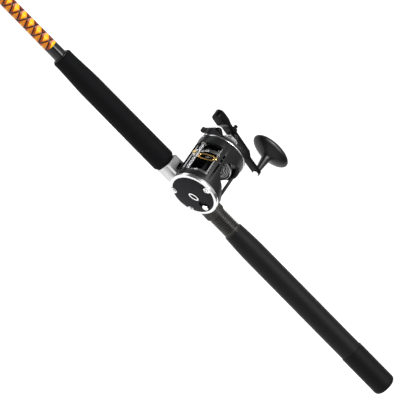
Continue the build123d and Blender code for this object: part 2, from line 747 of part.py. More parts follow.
with BuildPart() as worm_bushings:
    for high, low in ((31.2, left_inner), (right_inner, right_outer)):
        disc(high, high - low, 3.6, worm_dx, worm_dz)
        disc(high, high - low, worm_radius + 0.06, worm_dx, worm_dz, mode=Mode.SUBTRACT)
worm_bushings.part.label = "worm_bushings"
export_step(worm_bushings.part, "parts/worm_bushings.step")

with BuildPart() as guide_rods:
    disc(30.8, 30.8 + 27.4, 1.0, top_rod_dx, top_rod_dz)
    disc(30.8, 30.8 + 27.4, 0.9, 31.2, -2.2)
guide_rods.part.label = "guide_rods"
export_step(guide_rods.part, "parts/guide_rods.step")

# Carriage that rides on the worm, its pawl cap facing away from the spool.
carriage_half = 5.5
carriage_radius = 3.5
outward = bearing_angle(worm_dx, worm_dz)
cap_start = worm_distance + carriage_radius - 0.6
with BuildPart() as line_carriage:
    disc(carriage_y + carriage_half, 2 * carriage_half, carriage_radius, worm_dx, worm_dz)
    out_dx, out_dz = polar(worm_distance + 4.4, outward)
    rod_between((spool_x + worm_dx, carriage_y, spool_z + worm_dz),
                (spool_x + out_dx, carriage_y, spool_z + out_dz), 2.9)
    disc(40.0, 80.0, worm_radius + 0.08, worm_dx, worm_dz, mode=Mode.SUBTRACT)
    rod_between((spool_x + worm_dx, carriage_y, spool_z + worm_dz),
                (spool_x + out_dx, carriage_y, spool_z + out_dz), 1.6, mode=Mode.SUBTRACT)
line_carriage.part.label = "line_carriage"
export_step(line_carriage.part, "parts/line_carriage.step")

with BuildPart() as wind_pawl:
    near_dx, near_dz = polar(worm_distance + worm_radius + 0.1, outward)
    far_dx, far_dz = polar(worm_distance + 5.6, outward)
    rod_between((spool_x + near_dx, carriage_y, spool_z + near_dz),
                (spool_x + far_dx, carriage_y, spool_z + far_dz), 1.6)
    rod_between((spool_x + out_dx, carriage_y, spool_z + out_dz),
                (spool_x + far_dx, carriage_y, spool_z + far_dz), 2.9)
wind_pawl.part.label = "wind_pawl"
export_step(wind_pawl.part, "parts/wind_pawl.step")

# Oval eye that leans from the carriage up and back to the top guide rod.
eye_run = math.hypot(top_rod_dx - worm_dx, top_rod_dz - worm_dz)
eye_x = (top_rod_dx - worm_dx) / eye_run
eye_z = (top_rod_dz - worm_dz) / eye_run
eye_start = carriage_radius
eye_end = eye_run - 1.4
eye_centre = (eye_start + eye_end) / 2
eye_plane = Plane(
    origin=(spool_x + worm_dx + eye_centre * eye_x, carriage_y, spool_z + worm_dz + eye_centre * eye_z),
    x_dir=(0, 1, 0),
    z_dir=(eye_z, 0, -eye_x),
)
eye_width = 10.0
eye_wire = 1.9
with BuildPart() as line_eye:
    with BuildSketch(eye_plane) as eye_loop:
        SlotOverall(eye_end - eye_start, eye_width, rotation=90)
        SlotOverall(eye_end - eye_start - 2 * eye_wire, eye_width - 2 * eye_wire, rotation=90,
                    mode=Mode.SUBTRACT)
    extrude(eye_loop.sketch, amount=eye_wire / 2, both=True)
    disc(carriage_y + 3.0, 6.0, 2.2, top_rod_dx, top_rod_dz)
    disc(carriage_y + 4.0, 8.0, 1.1, top_rod_dx, top_rod_dz, mode=Mode.SUBTRACT)
line_eye.part.label = "line_eye"
export_step(line_eye.part, "parts/line_eye.step")

# ---------------------------------------------------------------- right side: ring and bridge
plate_in = -36.6
dome_out = -51.6
bulge_out = -48.6
plate_wall = 1.4
gear_lobe = 7.0
crank_lobe = 19.2

with BuildPart() as right_ring:
    disc(right_outer, right_outer - plate_in, side_radius + 0.2)
    disc(right_outer, right_outer - plate_in, 6.4, worm_dx, worm_dz)
    disc(right_outer, right_outer - plate_in, 30.0, mode=Mode.SUBTRACT)
    disc(right_outer, right_outer - plate_in, 3.6, worm_dx, worm_dz, mode=Mode.SUBTRACT)
    for angle, radius in right_screws:
        disc(right_outer, 2.0, screw_radius, *polar(radius, angle), mode=Mode.SUBTRACT)
right_ring.part.label = "right_ring"
export_step(right_ring.part, "parts/right_ring.step")

bridge_y = -35.2
bridge_face = -37.4
stud_radius = 2.4
dog_dx = -17.5
dog_dz = -9.5
with BuildPart() as bridge:
    disc(bridge_y, bridge_y - bridge_face, 28.8)
    disc(-33.0, 3.0, 6.4)
    disc(bridge_face, 20.4, stud_radius, crank_dx, crank_dz)
    disc(bridge_face, 4.2, idler_stud, idler_dx, idler_dz)
    disc(bridge_face, 4.6, 1.2, dog_dx, dog_dz)
    disc(-33.4, bearing_width, bearing_outer, mode=Mode.SUBTRACT)
    disc(-30.0, 10.0, 3.6, mode=Mode.SUBTRACT)
    disc(-34.0, 5.0, 4.0, worm_dx, worm_dz, mode=Mode.SUBTRACT)
bridge.part.label = "bridge"
export_step(bridge.part, "parts/bridge.step")

# ---------------------------------------------------------------- right side plate
sleeve_radius = 3.9
lever_dx = 26.0
lever_dz = 7.5
post_inner = (-2.6, 7.1)
post_outer = (16.6, 5.5)


def housing_sketch(shrink):
    """Outline that covers the gears: hull of circles round the crank, the worm gear and the spool."""
    for dx, dz, radius in ((crank_dx, crank_dz, crank_lobe), (worm_dx, worm_dz, gear_lobe), (0, 0, 15.0)):
        with Locations((dx, dz)):
            Circle(radius - shrink)
    make_hull()


with BuildPart() as right_plate:
    with BuildSketch(across(plate_in)) as housing:
        housing_sketch(0)
    extrude(housing.sketch, amount=plate_in - bulge_out)
    outer_face = right_plate.faces().sort_by(Axis.Y)[0]
    fillet(outer_face.edges(), 2.2)
    reel_lathe(
        [(plate_in, 0), (plate_in, side_radius), (plate_in - 2.4, side_radius, 0.8)]
        + [(dome_out, 20.0, 2.0), (dome_out, 0)]
    )
    disc(-47.0, 13.0, 8.2, crank_dx, crank_dz)
    disc(-50.0, 8.0, 9.2)
    for angle, radius in right_screws:
        disc(plate_in, 4.4, 3.3, *polar(radius, angle))
    with BuildSketch(across(plate_in)) as cavity:
        housing_sketch(plate_wall)
    extrude(cavity.sketch, amount=plate_in - bulge_out - 1.6, mode=Mode.SUBTRACT)
    reel_lathe(
        [(plate_in, 0), (plate_in, 30.0), (plate_in - 2.4, 30.0)]
        + [(dome_out + plate_wall, 18.5), (dome_out + plate_wall, 0)],
        mode=Mode.SUBTRACT,
    )
    disc(-47.0, 11.0, 5.8, mode=Mode.SUBTRACT)
    disc(-45.0, 16.0, sleeve_radius + 0.07, crank_dx, crank_dz, mode=Mode.SUBTRACT)
    disc(-45.0, 5.0, 2.07, lever_dx, lever_dz, mode=Mode.SUBTRACT)
    disc(-46.4, 4.2, 1.2, *post_inner)
    disc(-43.0, 7.6, 1.2, *post_outer)
    for angle, radius in right_screws:
        disc(plate_in + 1, 8.0, screw_radius, *polar(radius, angle), mode=Mode.SUBTRACT)
        disc(plate_in - 4.4, 12.0, head_radius + 0.25, *polar(radius, angle), mode=Mode.SUBTRACT)
right_plate.part.label = "right_plate"
export_step(right_plate.part, "parts/right_plate.step")

# ---------------------------------------------------------------- gears, drag and clutch
main_y = -42.6
main_width = 3.8
pinion_tooth = 90
to_crank = bearing_angle(crank_dx, crank_dz)
main_tooth = meshing_tooth(pinion_teeth, pinion_tooth, to_crank, main_teeth)
with BuildPart() as main_gear:
    gear(main_y, main_width, main_teeth, gear_module, main_tooth, crank_dx, crank_dz)
    disc(main_y - 1.8, 4.0, 12.4, crank_dx, crank_dz, mode=Mode.SUBTRACT)
    disc(main_y + 1, 8.0, sleeve_radius, crank_dx, crank_dz, mode=Mode.SUBTRACT)
main_gear.part.label = "main_gear"
export_step(main_gear.part, "parts/main_gear.step")

washer_thickness = 0.55
with BuildPart() as drag_washers:
    for layer in range(3):
        disc(main_y - 1.8 - layer * washer_thickness, washer_thickness, 12.0 - (layer % 2) * 0.4,
             crank_dx, crank_dz)
    disc(main_y - 1.8 - 3 * washer_thickness, washer_thickness, 9.0, crank_dx, crank_dz)
    disc(main_y, 8.0, sleeve_radius, crank_dx, crank_dz, mode=Mode.SUBTRACT)
drag_washers.part.label = "drag_washers"
export_step(drag_washers.part, "parts/drag_washers.step")

ratchet_y = -39.8
with BuildPart() as ratchet:
    with BuildSketch(across(ratchet_y, crank_dx, crank_dz)) as ratchet_face:
        with BuildLine():
            Polyline(
                *[
                    polar(ratchet_radius - drop, tooth * 30 + lead)
                    for tooth in range(12)
                    for drop, lead in ((1.8, 0), (0, 1.5), (0, 5))
                ],
                close=True,
            )
        make_face()
    extrude(ratchet_face.sketch, amount=1.8)
    disc(ratchet_y + 1, 6.0, sleeve_radius, crank_dx, crank_dz, mode=Mode.SUBTRACT)
ratchet.part.label = "ratchet"
export_step(ratchet.part, "parts/ratchet.step")

# Anti-reverse dog, shown lifted clear of the ratchet.
pivot_reach = math.hypot(dog_dx - crank_dx, dog_dz - crank_dz)
pivot_angle = bearing_angle(dog_dx - crank_dx, dog_dz - crank_dz)
dog_tip = polar(ratchet_radius + 1.3, pivot_angle + 30)
with BuildPart() as reverse_dog:
    with BuildSketch(across(ratchet_y)) as dog_face:
        with Locations((dog_dx, dog_dz)):
            Circle(2.5)
        with Locations((crank_dx + dog_tip[0], crank_dz + dog_tip[1])):
            Circle(0.8)
        make_hull()
        with Locations((dog_dx, dog_dz)):
            Circle(1.28, mode=Mode.SUBTRACT)
    extrude(dog_face.sketch, amount=1.8)
reverse_dog.part.label = "reverse_dog"
export_step(reverse_dog.part, "parts/reverse_dog.step")

# Hollow handle shaft that turns on the bridge's stud: drag thread, then a square for the arm.
thread_y = -61.0
square_y = -82.0
shaft_end = -90.0
square_size = 5.0
with BuildPart() as handle_shaft:
    disc(-38.0, 23.0, sleeve_radius, crank_dx, crank_dz)
    disc(thread_y, thread_y - square_y, 3.2, crank_dx, crank_dz)
    with BuildSketch(across(square_y, crank_dx, crank_dz)) as square_end:
        Rectangle(square_size, square_size, rotation=arm_slope)
    extrude(square_end.sketch, amount=square_y - shaft_end)
    disc(shaft_end, 3.0, 1.8, crank_dx, crank_dz)
    disc(-38.0, 20.5, stud_radius + 0.07, crank_dx, crank_dz, mode=Mode.SUBTRACT)
handle_shaft.part.label = "handle_shaft"
export_step(handle_shaft.part, "parts/handle_shaft.step")

groove_y = -46.8
with BuildPart() as pinion:
    gear(-42.4, 4.4, pinion_teeth, gear_module, pinion_tooth)
    disc(groove_y, 1.6, 2.3)
    disc(groove_y - 1.6, 1.2, 3.3)
    disc(-42.0, 8.0, 1.6, mode=Mode.SUBTRACT)
    with BuildSketch(across(-42.4)) as key_slot:
        Rectangle(2.6, 12.0)
    extrude(key_slot.sketch, amount=1.4, mode=Mode.SUBTRACT)
pinion.part.label = "pinion"
export_step(pinion.part, "parts/pinion.step")

yoke_bend = (7.2, 2.1)
with BuildPart() as clutch_yoke:
    with BuildSketch(across(groove_y - 0.2)) as fork:
        Circle(5.0)
        for place in (yoke_bend, post_inner):
            with Locations(place):
                Circle(2.3)
        make_hull()
        Circle(2.6, mode=Mode.SUBTRACT)
        with Locations((-4.0, -1.2)):
            Rectangle(8.0, 5.2, rotation=bearing_angle(*yoke_bend), mode=Mode.SUBTRACT)
    extrude(fork.sketch, amount=1.2)
    disc(-43.2, 5.0, 2.1, *yoke_bend)
    with BuildSketch(across(-43.2)) as yoke_arm:
        for place in (yoke_bend, post_outer, (20.0, 6.4)):
            with Locations(place):
                Circle(2.1)
        make_hull()
    extrude(yoke_arm.sketch, amount=1.2)
    for place in (post_inner, post_outer):
        disc(-40.0, 12.0, 1.3, *place, mode=Mode.SUBTRACT)
clutch_yoke.part.label = "clutch_yoke"
export_step(clutch_yoke.part, "parts/clutch_yoke.step")

# Free-spool lever: cam inside the housing, arm and thumb knob outside.
lever_tip = (34.6, -11.6)
with BuildPart() as free_spool_lever:
    disc(-41.8, 1.2, 4.2, lever_dx, lever_dz)
    disc(-42.0, 9.0, 2.0, lever_dx, lever_dz)
    disc(-49.5, 1.4, 4.2, lever_dx, lever_dz)
    with BuildSketch(across(-50.4)) as lever_arm:
        with Locations((lever_dx, lever_dz)):
            Circle(4.6)
        with Locations(lever_tip):
            Circle(3.0)
        make_hull()
    extrude(lever_arm.sketch, amount=3.6)
    disc(-50.4, 5.6, 3.4, *lever_tip)
    fillet(free_spool_lever.faces().sort_by(Axis.Y)[0].edges(), 1.2)
free_spool_lever.part.label = "free_spool_lever"
export_step(free_spool_lever.part, "parts/free_spool_lever.step")

# Spool tension cap over the threaded boss.
cap_y = -52.0
cap_far = -63.6
with BuildPart() as tension_cap:
    reel_lathe(
        [(cap_y, 9.5), (cap_y, 11.0, 0.5), (cap_far, 11.0, 1.4), (cap_far, 0), (cap_far + 1.6, 0)]
        + [(cap_far + 1.6, 9.5)]
    )
    disc(-51.7, 11.0, 1.5)
tension_cap.part.label = "tension_cap"
export_step(tension_cap.part, "parts/tension_cap.step")

# ---------------------------------------------------------------- star drag, handle and knob
star_y = -67.0
with BuildPart() as star_drag:
    reel_lathe([(-61.4, 0), (-61.4, 8.0, 1.0), (-72.4, 8.0, 1.0), (-72.4, 0)], crank_dx, crank_dz)
    with BuildSketch(across(star_y, crank_dx, crank_dz)) as star_arms:
        with PolarLocations(0, 5, start_angle=20):
            with Locations((10.5, 0)):
                SlotCenterToCenter(20.0, 6.6)
    extrude(star_arms.sketch, amount=4.2)
    for arm in range(5):
        tip_dx, tip_dz = polar(star_radius - 3.8, 20 + 72 * arm)
        disc(star_y, 7.0, 3.8, crank_dx + tip_dx, crank_dz + tip_dz)
    disc(-60.0, 20.0, 3.3, crank_dx, crank_dz, mode=Mode.SUBTRACT)
star_drag.part.label = "star_drag"
export_step(star_drag.part, "parts/star_drag.step")

arm_dir = polar(1.0, 180 + arm_slope)
arm_origin = (spool_x + crank_dx, 0, spool_z + crank_dz)
arm_front = -30.5
knob_dx = crank_dx + arm_reach * arm_dir[0]
knob_dz = crank_dz + arm_reach * arm_dir[1]
arm_mid = 38.0
with BuildPart() as handle_arm:
    plan = Plane(origin=arm_origin, x_dir=(arm_dir[0], 0, arm_dir[1]), z_dir=(0, -1, 0))
    with BuildSketch(plan.offset(80.0)) as arm_plan:
        with BuildSketch(mode=Mode.PRIVATE) as front_part:
            with Locations((arm_front, 0)):
                Circle(7.2)
            Circle(7.6)
            make_hull()
        with BuildSketch(mode=Mode.PRIVATE) as middle_part:
            Circle(7.6)
            with Locations((arm_mid, 0)):
                Circle(6.2)
            make_hull()
        with BuildSketch(mode=Mode.PRIVATE) as knob_part:
            for reach in (arm_mid, arm_reach):
                with Locations((reach, 0)):
                    Circle(5.4)
            make_hull()
        add(front_part.sketch)
        add(middle_part.sketch)
        add(knob_part.sketch)
    extrude(arm_plan.sketch, amount=14.0)
    side = Plane(origin=arm_origin, x_dir=(arm_dir[0], 0, arm_dir[1]), z_dir=(-arm_dir[1], 0, arm_dir[0]))
    with BuildSketch(side) as arm_side:
        with BuildLine():
            FilletPolyline(
                (-40, -92.5), (-40, -81.5), (-20, -81.5), (-13, -85.6), (34, -85.6), (41, -81.4),
                (75, -81.4), (75, -85.8), (41.5, -85.8), (34.5, -90), (-13, -90), (-20, -92.5),
                radius=[0, 0, 3, 4, 3, 3, 0, 0, 3, 3, 4, 3], close=True,
            )
        make_face()
    extrude(arm_side.sketch, amount=20, both=True, mode=Mode.INTERSECT)
    with BuildSketch(across(-80.0, crank_dx, crank_dz)) as arm_square:
        Rectangle(square_size, square_size, rotation=arm_slope)
    extrude(arm_square.sketch, amount=14.0, mode=Mode.SUBTRACT)
    disc(-80.0, 10.0, 2.0, knob_dx, knob_dz, mode=Mode.SUBTRACT)
handle_arm.part.label = "handle_arm"
export_step(handle_arm.part, "parts/handle_arm.step")

with BuildPart() as handle_nut:
    with BuildSketch(across(-90.0, crank_dx, crank_dz)) as nut_face:
        RegularPolygon(5.8, 6)
    extrude(nut_face.sketch, amount=4.6)
    disc(-94.6, 6.4, 2.6, crank_dx, crank_dz)
    disc(-90.0, 3.0, 1.8, crank_dx, crank_dz, mode=Mode.SUBTRACT)
handle_nut.part.label = "handle_nut"
export_step(handle_nut.part, "parts/handle_nut.step")

# Knob on its screw: the screw belongs to the arm, the knob turns on it.
arm_face = -85.8
knob_near = -87.1
knob_far = -132.0
with BuildPart() as knob_screw:
    disc(-80.2, 1.2, 4.0, knob_dx, knob_dz)
    disc(-81.4, 4.4, 2.0, knob_dx, knob_dz)
    disc(arm_face, 1.0, 4.2, knob_dx, knob_dz)
    disc(arm_face, 28.0, 2.0, knob_dx, knob_dz)
knob_screw.part.label = "knob_screw"
export_step(knob_screw.part, "parts/knob_screw.step")

# Oval paddle: (distance along the knob, half length, half height).
paddle = [(-112.5, 9.0, 7.4), (-115.5, 20.0, 12.4), (-119.5, 27.0, 16.8), (-123.5, 29.0, 18.0),
          (-127.5, 26.6, 16.2), (-130.6, 20.0, 11.8), (knob_far, 11.0, 6.4)]
with BuildPart() as knob:
    for y, half_length, half_height in paddle:
        with BuildSketch(across(y, knob_dx, knob_dz)):
            Ellipse(half_length, half_height)
    loft()
    reel_lathe([(knob_near, 0), (knob_near, 4.4, 0.6), (-100.0, 6.0), (-114.0, 8.2), (-114.0, 0)],
               knob_dx, knob_dz)
    disc(knob_near + 1, 28.5, 2.08, knob_dx, knob_dz, mode=Mode.SUBTRACT)
knob.part.label = "knob"
export_step(knob.part, "parts/knob.step")

# ---------------------------------------------------------------- fasteners
with BuildPart() as plate_screws:
    for angle, radius in left_screws:
        place = polar(radius, angle)
        disc(lobe_y + 1.3, 1.3, head_radius, *place)
        disc(lobe_y, 12.0, screw_radius, *place)
    for angle, radius in right_screws:
        place = polar(radius, angle)
        disc(plate_in - 4.4, 1.3, head_radius, *place)
        disc(right_outer + 7.0, 13.0, screw_radius, *place)
plate_screws.part.label = "plate_screws"
export_step(plate_screws.part, "parts/plate_screws.step")

with BuildPart() as foot_screws:
    with BuildSketch(Plane.XY.offset(12.3)) as foot_shanks:
        with Locations((spool_x, 0)):
            with GridLocations(24, 12, 2, 2):
                Circle(foot_screw_radius)
    extrude(foot_shanks.sketch, amount=7.0)
foot_screws.part.label = "foot_screws"
export_step(foot_screws.part, "parts/foot_screws.step")
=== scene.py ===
"""Looks for a boat rod and its level-wind reel, laid out as an add-on and run as a script."""

import json
import math

import bmesh
import bpy
from mathutils import Matrix, Vector


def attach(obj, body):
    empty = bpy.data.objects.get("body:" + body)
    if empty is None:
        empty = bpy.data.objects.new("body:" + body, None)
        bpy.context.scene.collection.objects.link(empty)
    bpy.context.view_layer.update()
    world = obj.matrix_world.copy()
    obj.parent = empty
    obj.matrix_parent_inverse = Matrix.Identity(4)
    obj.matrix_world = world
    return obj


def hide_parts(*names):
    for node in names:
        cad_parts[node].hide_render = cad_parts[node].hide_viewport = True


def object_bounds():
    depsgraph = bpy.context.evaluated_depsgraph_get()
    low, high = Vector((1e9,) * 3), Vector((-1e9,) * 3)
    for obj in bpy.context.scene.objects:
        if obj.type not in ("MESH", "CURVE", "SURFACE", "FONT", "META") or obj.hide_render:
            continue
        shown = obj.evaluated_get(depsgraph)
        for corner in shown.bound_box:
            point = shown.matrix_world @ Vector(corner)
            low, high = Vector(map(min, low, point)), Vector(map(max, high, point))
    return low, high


bl_info = {
    "name": "Boat Rod and Reel",
    "version": (1, 0, 0),
    "blender": (4, 5, 0),
    "location": "3D View > Sidebar > Rod",
    "description": "Builds the visible pieces and finishes of a boat rod with a level-wind reel",
    "category": "Object",
}

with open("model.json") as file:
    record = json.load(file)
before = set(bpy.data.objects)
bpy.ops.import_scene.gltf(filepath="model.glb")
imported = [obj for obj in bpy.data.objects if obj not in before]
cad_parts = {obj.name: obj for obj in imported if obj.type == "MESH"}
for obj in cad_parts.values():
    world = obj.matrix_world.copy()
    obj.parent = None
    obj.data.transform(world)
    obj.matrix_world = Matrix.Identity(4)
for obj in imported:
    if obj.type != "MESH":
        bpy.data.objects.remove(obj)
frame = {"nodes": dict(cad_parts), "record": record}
cad_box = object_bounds()
nodes = frame["nodes"]
body_of_node = {n: b for b, ns in frame["record"]["behaviour"]["bodies"].items() for n in ns}

MM = 0.001
TURN = 2 * math.pi


# ------------------------------------------------------------------ sizes and colours
def length(name, about, millimetres):
    return bpy.props.FloatProperty(name=name, description=about, default=millimetres * MM, unit="LENGTH")


def colour(name, about, rgb):
    return bpy.props.FloatVectorProperty(
        name=name, description=about, default=rgb, size=3, subtype="COLOR", min=0, max=1
    )


def number(name, about, value):
    return bpy.props.FloatProperty(name=name, description=about, default=value)


def count(name, about, value):
    return bpy.props.IntProperty(name=name, description=about, default=value, min=1)


class RodSizes(bpy.types.PropertyGroup):
    diamond: length("Diamond", "Length of one diamond of the butt wrap", 13.9)
    diamond_start: length("Diamond start", "A crossing of the wrap, from the butt", 654.45)
    wrap_relief: length("Wrap relief", "How far the coat sinks over the outlines", 0.10)
    thread_pitch: length("Seat thread pitch", "Pitch of the reel seat's thread", 3.0)
    thread_crest: length("Seat thread crest", "Outer radius of the seat's thread", 12.2)
    thread_root: length("Seat thread root", "Inner radius of the seat's thread", 11.25)
    winding_pitch: length("Winding pitch", "Distance between turns of binding thread", 0.5)
    nut_ridges: count("Nut ridges", "Grip ridges round the lock nut", 30)


class ReelSizes(bpy.types.PropertyGroup):
    screw_head: length("Screw head", "Radius of the plate screws' heads", 2.7)
    star_reach: length("Star reach", "Star wheel's tip radius", 24.5)
    star_arms: count("Star arms", "Arms on the star wheel", 5)
    cap_ridges: count("Cap ridges", "Grip ridges round the tension cap", 44)
    worm_lead: length("Worm lead", "Advance of the worm's groove in one turn", 7.0)


class Finishes(bpy.types.PropertyGroup):
    foam: colour("Foam", "Foregrip foam", (0.0030, 0.0031, 0.0038))
    grip: colour("Grip", "Rear grip tube", (0.0052, 0.0054, 0.0060))
    cap: colour("Butt cap", "Rubber butt cap", (0.0022, 0.0023, 0.0026))
    seat: colour("Seat", "Reel seat composite", (0.018, 0.0165, 0.0135))
    reel_frame: colour("Reel frame", "Graphite reel frame", (0.0095, 0.0097, 0.0103))
    plate: colour("Plate", "Side plate faces", (0.0050, 0.0052, 0.0072))
    black: colour("Black", "Anodised and painted black parts", (0.0030, 0.0030, 0.0034))
    steel: colour("Steel", "Polished steel", (0.86, 0.86, 0.87))
    gold: colour("Gold", "Coated line-guide wire", (0.72, 0.45, 0.15))
    yellow: colour("Yellow", "Middle of a diamond", (0.98, 0.50, 0.002))
    orange: colour("Orange", "Orange thread", (0.74, 0.22, 0.012))
    red: colour("Red", "Red-brown thread", (0.32, 0.04, 0.006))
    pink: colour("Pink", "Rose thread at the crossings", (0.72, 0.32, 0.24))
    outline: colour("Outline", "Dark outline thread", (0.012, 0.003, 0.003))


class StageSizes(bpy.types.PropertyGroup):
    view_from: bpy.props.FloatVectorProperty(
        name="View from", description="Direction from the object to the camera",
        default=(0.264, 0.574, 0.775), size=3, subtype="DIRECTION",
    )
    view_up: bpy.props.FloatVectorProperty(
        name="View up", description="Direction that is up in the view",
        default=(0.687, -0.676, 0.266), size=3, subtype="DIRECTION",
    )
    look_at: bpy.props.FloatVectorProperty(
        name="Look at", description="Middle of the view", default=(0.346, 0.0083, 0.0079),
        size=3, subtype="TRANSLATION", unit="LENGTH",
    )
    view_width: length("View width", "Width of what the camera sees", 540.8)
    distance: length("Camera distance", "Camera to the middle of the view", 16000.0)
    floor_drop: length("Floor drop", "Floor below the lowest point", 900.0)
    world_level: number("World level", "Brightness of the surroundings", 0.12)
    backdrop_level: number("Backdrop level", "Brightness of the far backdrop", 0.96)


# ------------------------------------------------------------------ shader and node tools
def both_ways(operation):
    """A Python operator and its reflected form, as one Math node."""
    return (lambda wire, other: wire.maths(operation, wire, other),
            lambda wire, other: wire.maths(operation, other, wire))


def named(operation):
    return lambda wire, *others: wire.maths(operation, wire, *others)


class Wire:
    """One node socket that takes part in Python arithmetic."""

    def __init__(self, maker, socket):
        self.maker = maker
        self.socket = socket

    def maths(self, operation, *values):
        return self.maker.node("ShaderNodeMath", {"operation": operation}, dict(enumerate(values)))

    __add__, __radd__ = both_ways("ADD")
    __sub__, __rsub__ = both_ways("SUBTRACT")
    __mul__, __rmul__ = both_ways("MULTIPLY")
    __truediv__, __rtruediv__ = both_ways("DIVIDE")
    fraction, size, sine, root = (named(word) for word in ("FRACT", "ABSOLUTE", "SINE", "SQRT"))
    most, least = named("MAXIMUM"), named("MINIMUM")
    over, angle_from = named("GREATER_THAN"), named("ARCTAN2")

    def step(self, start, end):
        """0 below start, 1 above end, smooth between; start may be the larger."""
        return self.maker.node(
            "ShaderNodeMapRange", {"interpolation_type": "SMOOTHSTEP"},
            {"Value": self, "From Min": start, "From Max": end},
        )


class Tree:
    """Makes nodes in a shader or geometry tree."""

    def __init__(self, tree):
        self.tree = tree

    def node(self, kind, settings=None, values=None, output=0):
        made = self.tree.nodes.new(kind)
        for name, setting in (settings or {}).items():
            if name == "stops":
                ramp = made.color_ramp
                while len(ramp.elements) < len(setting):
                    ramp.elements.new(0.5)
                for element, (place, shade) in zip(ramp.elements, setting):
                    element.position = place
                    element.color = (*shade, 1.0)
            else:
                setattr(made, name, setting)
        for key, value in (values or {}).items():
            socket = made.inputs[key]
            if isinstance(value, Wire):
                self.tree.links.new(value.socket, socket)
            elif socket.type == "RGBA" and len(value) == 3:
                socket.default_value = (*value, 1.0)
            else:
                socket.default_value = value
        if output is None:
            return made
        return Wire(self, made.outputs[output])

    def vector(self, *parts):
        """A vector from numbers or wires."""
        return self.node("ShaderNodeCombineXYZ", None, dict(enumerate(parts)))

    def split(self, vector):
        """The X, Y and Z of a vector."""
        made = self.node("ShaderNodeSeparateXYZ", None, {0: vector}, None)
        return [Wire(self, socket) for socket in made.outputs]


class Finish(Tree):
    """A material round one Principled shader."""

    def __init__(self, name, rough=0.5, metal=0.0, specular=0.5, coat=0.0, coat_rough=0.05):
        self.material = bpy.data.materials.new(name)
        self.material.use_nodes = True
        super().__init__(self.material.node_tree)
        self.shader = self.tree.nodes["Principled BSDF"]
        for socket, value in (("Roughness", rough), ("Metallic", metal), ("Specular IOR Level", specular),
                              ("Coat Weight", coat), ("Coat Roughness", coat_rough)):
            self.shader.inputs[socket].default_value = value
        self.place = self.node("ShaderNodeTexCoord", output="Object")

    def noise(self, scale, detail=2.0, rough=0.5, place=None):
        return self.node("ShaderNodeTexNoise", {"noise_dimensions": "3D"},
                         {"Vector": place or self.place, "Scale": scale, "Detail": detail,
                          "Roughness": rough}, "Fac")

    def cells(self, scale, place=None):
        return self.node("ShaderNodeTexVoronoi", {"feature": "F1"},
                         {"Vector": place or self.place, "Scale": scale}, "Distance")

    def stretched(self, factors):
        return self.node("ShaderNodeVectorMath", {"operation": "MULTIPLY"}, {0: self.place, 1: factors})

    def axes(self, centre=(0, 0, 0)):
        return self.split(
            self.node("ShaderNodeVectorMath", {"operation": "SUBTRACT"}, {0: self.place, 1: centre}))

    def radius(self, a, b):
        return (a * a + b * b).root()

    def turn(self, across_axis, up_axis):
        """Angle from the up axis towards the across axis, in turns."""
        return across_axis.angle_from(up_axis) / TURN

    def mix(self, amount, first, second, blend="MIX"):
        made = self.node("ShaderNodeMix", {"data_type": "RGBA", "blend_type": blend},
                         {0: amount, 6: first, 7: second}, None)
        return Wire(self, made.outputs[2])

    def send(self, name, wire):
        self.tree.links.new(wire.socket, self.shader.inputs[name])

    def done(self, tone, rough=None, height=None, depth=0.0, strength=1.0):
        """Sends the colour, roughness and bump to the shader and gives the material."""
        self.send("Base Color", tone)
        if rough is not None:
            self.send("Roughness", rough)
        if height is not None:
            self.send("Normal", self.node("ShaderNodeBump", None,
                                          {"Strength": strength, "Distance": depth, "Height": height}))
        return self.material


def shade(rgb, factor):
    return tuple(min(1.0, c * factor) for c in rgb)


def blended(first, second, amount):
    return tuple(a + (b - a) * amount for a, b in zip(first, second))


def moulded(name, rgb, rough, grain, depth, variation=0.25, specular=0.45, wear=0.0):
    """Moulded or painted surface: fine grain, soft mottling, and lighter rubbed spots."""
    made = Finish(name, rough=rough, specular=specular)
    mottle = made.noise(140.0, 4.0, 0.6)
    fine = made.noise(1.0 / grain, 3.0, 0.65)
    tone = made.mix(mottle, shade(rgb, 1 - variation), shade(rgb, 1 + variation))
    tone = made.mix(fine.step(0.52, 0.8) * 0.6, tone, blended(rgb, (0.2, 0.2, 0.21), 0.02 + wear))
    return made.done(tone, mottle * 0.16 + (rough - 0.08) + fine * 0.06, fine, depth, 0.8)


def turned(name, rgb, rough, axis, centre, ring=0.00025, variation=0.12, depth=0.000004):
    """Machined metal with fine rings about an axis and smudges."""
    made = Finish(name, rough=rough, metal=1.0)
    x, y, z = made.axes(centre)
    *across_pair, along_axis = {"x": (y, z, x), "y": (x, z, y), "z": (x, y, z)}[axis]
    radius = made.radius(*across_pair)
    rings = made.node("ShaderNodeTexNoise", {"noise_dimensions": "2D"}, {
        "Vector": made.vector(radius, along_axis),
        "Scale": 1.0 / ring, "Detail": 2.0}, "Fac")
    smudge = made.noise(90.0, 4.0, 0.6)
    tone = made.mix(rings * 0.5 + smudge * 0.5, shade(rgb, 1 - variation), shade(rgb, 1 + variation / 2))
    return made.done(tone, smudge * 0.16 + rings * 0.08 + (rough - 0.10), rings, depth, 0.5)


def satin(name, rgb, rough, stretch, variation=0.12, painted_shade_from=None):
    """Brushed sheet metal, the grain stretched along one axis. Where a start along X is given, the metal
    beyond it is painted near black as painted shade.
    """
    made = Finish(name, rough=rough, metal=1.0)
    brushed = made.noise(1.0, 3.0, 0.6, made.stretched(stretch))
    smudge = made.noise(120.0, 3.0, 0.6)
    tone = made.mix(brushed, shade(rgb, 1 - variation), shade(rgb, 1 + variation / 2))
    if painted_shade_from is not None:
        # painted shade: near black beyond the given X, standing in for the shadow inside the hood's window
        tone = made.mix(made.axes()[0].step(painted_shade_from, painted_shade_from + 0.5 * MM), tone, (0.006, 0.006, 0.006))
    return made.done(tone, brushed * 0.12 + smudge * 0.14 + (rough - 0.12), brushed, 0.000006, 0.6)


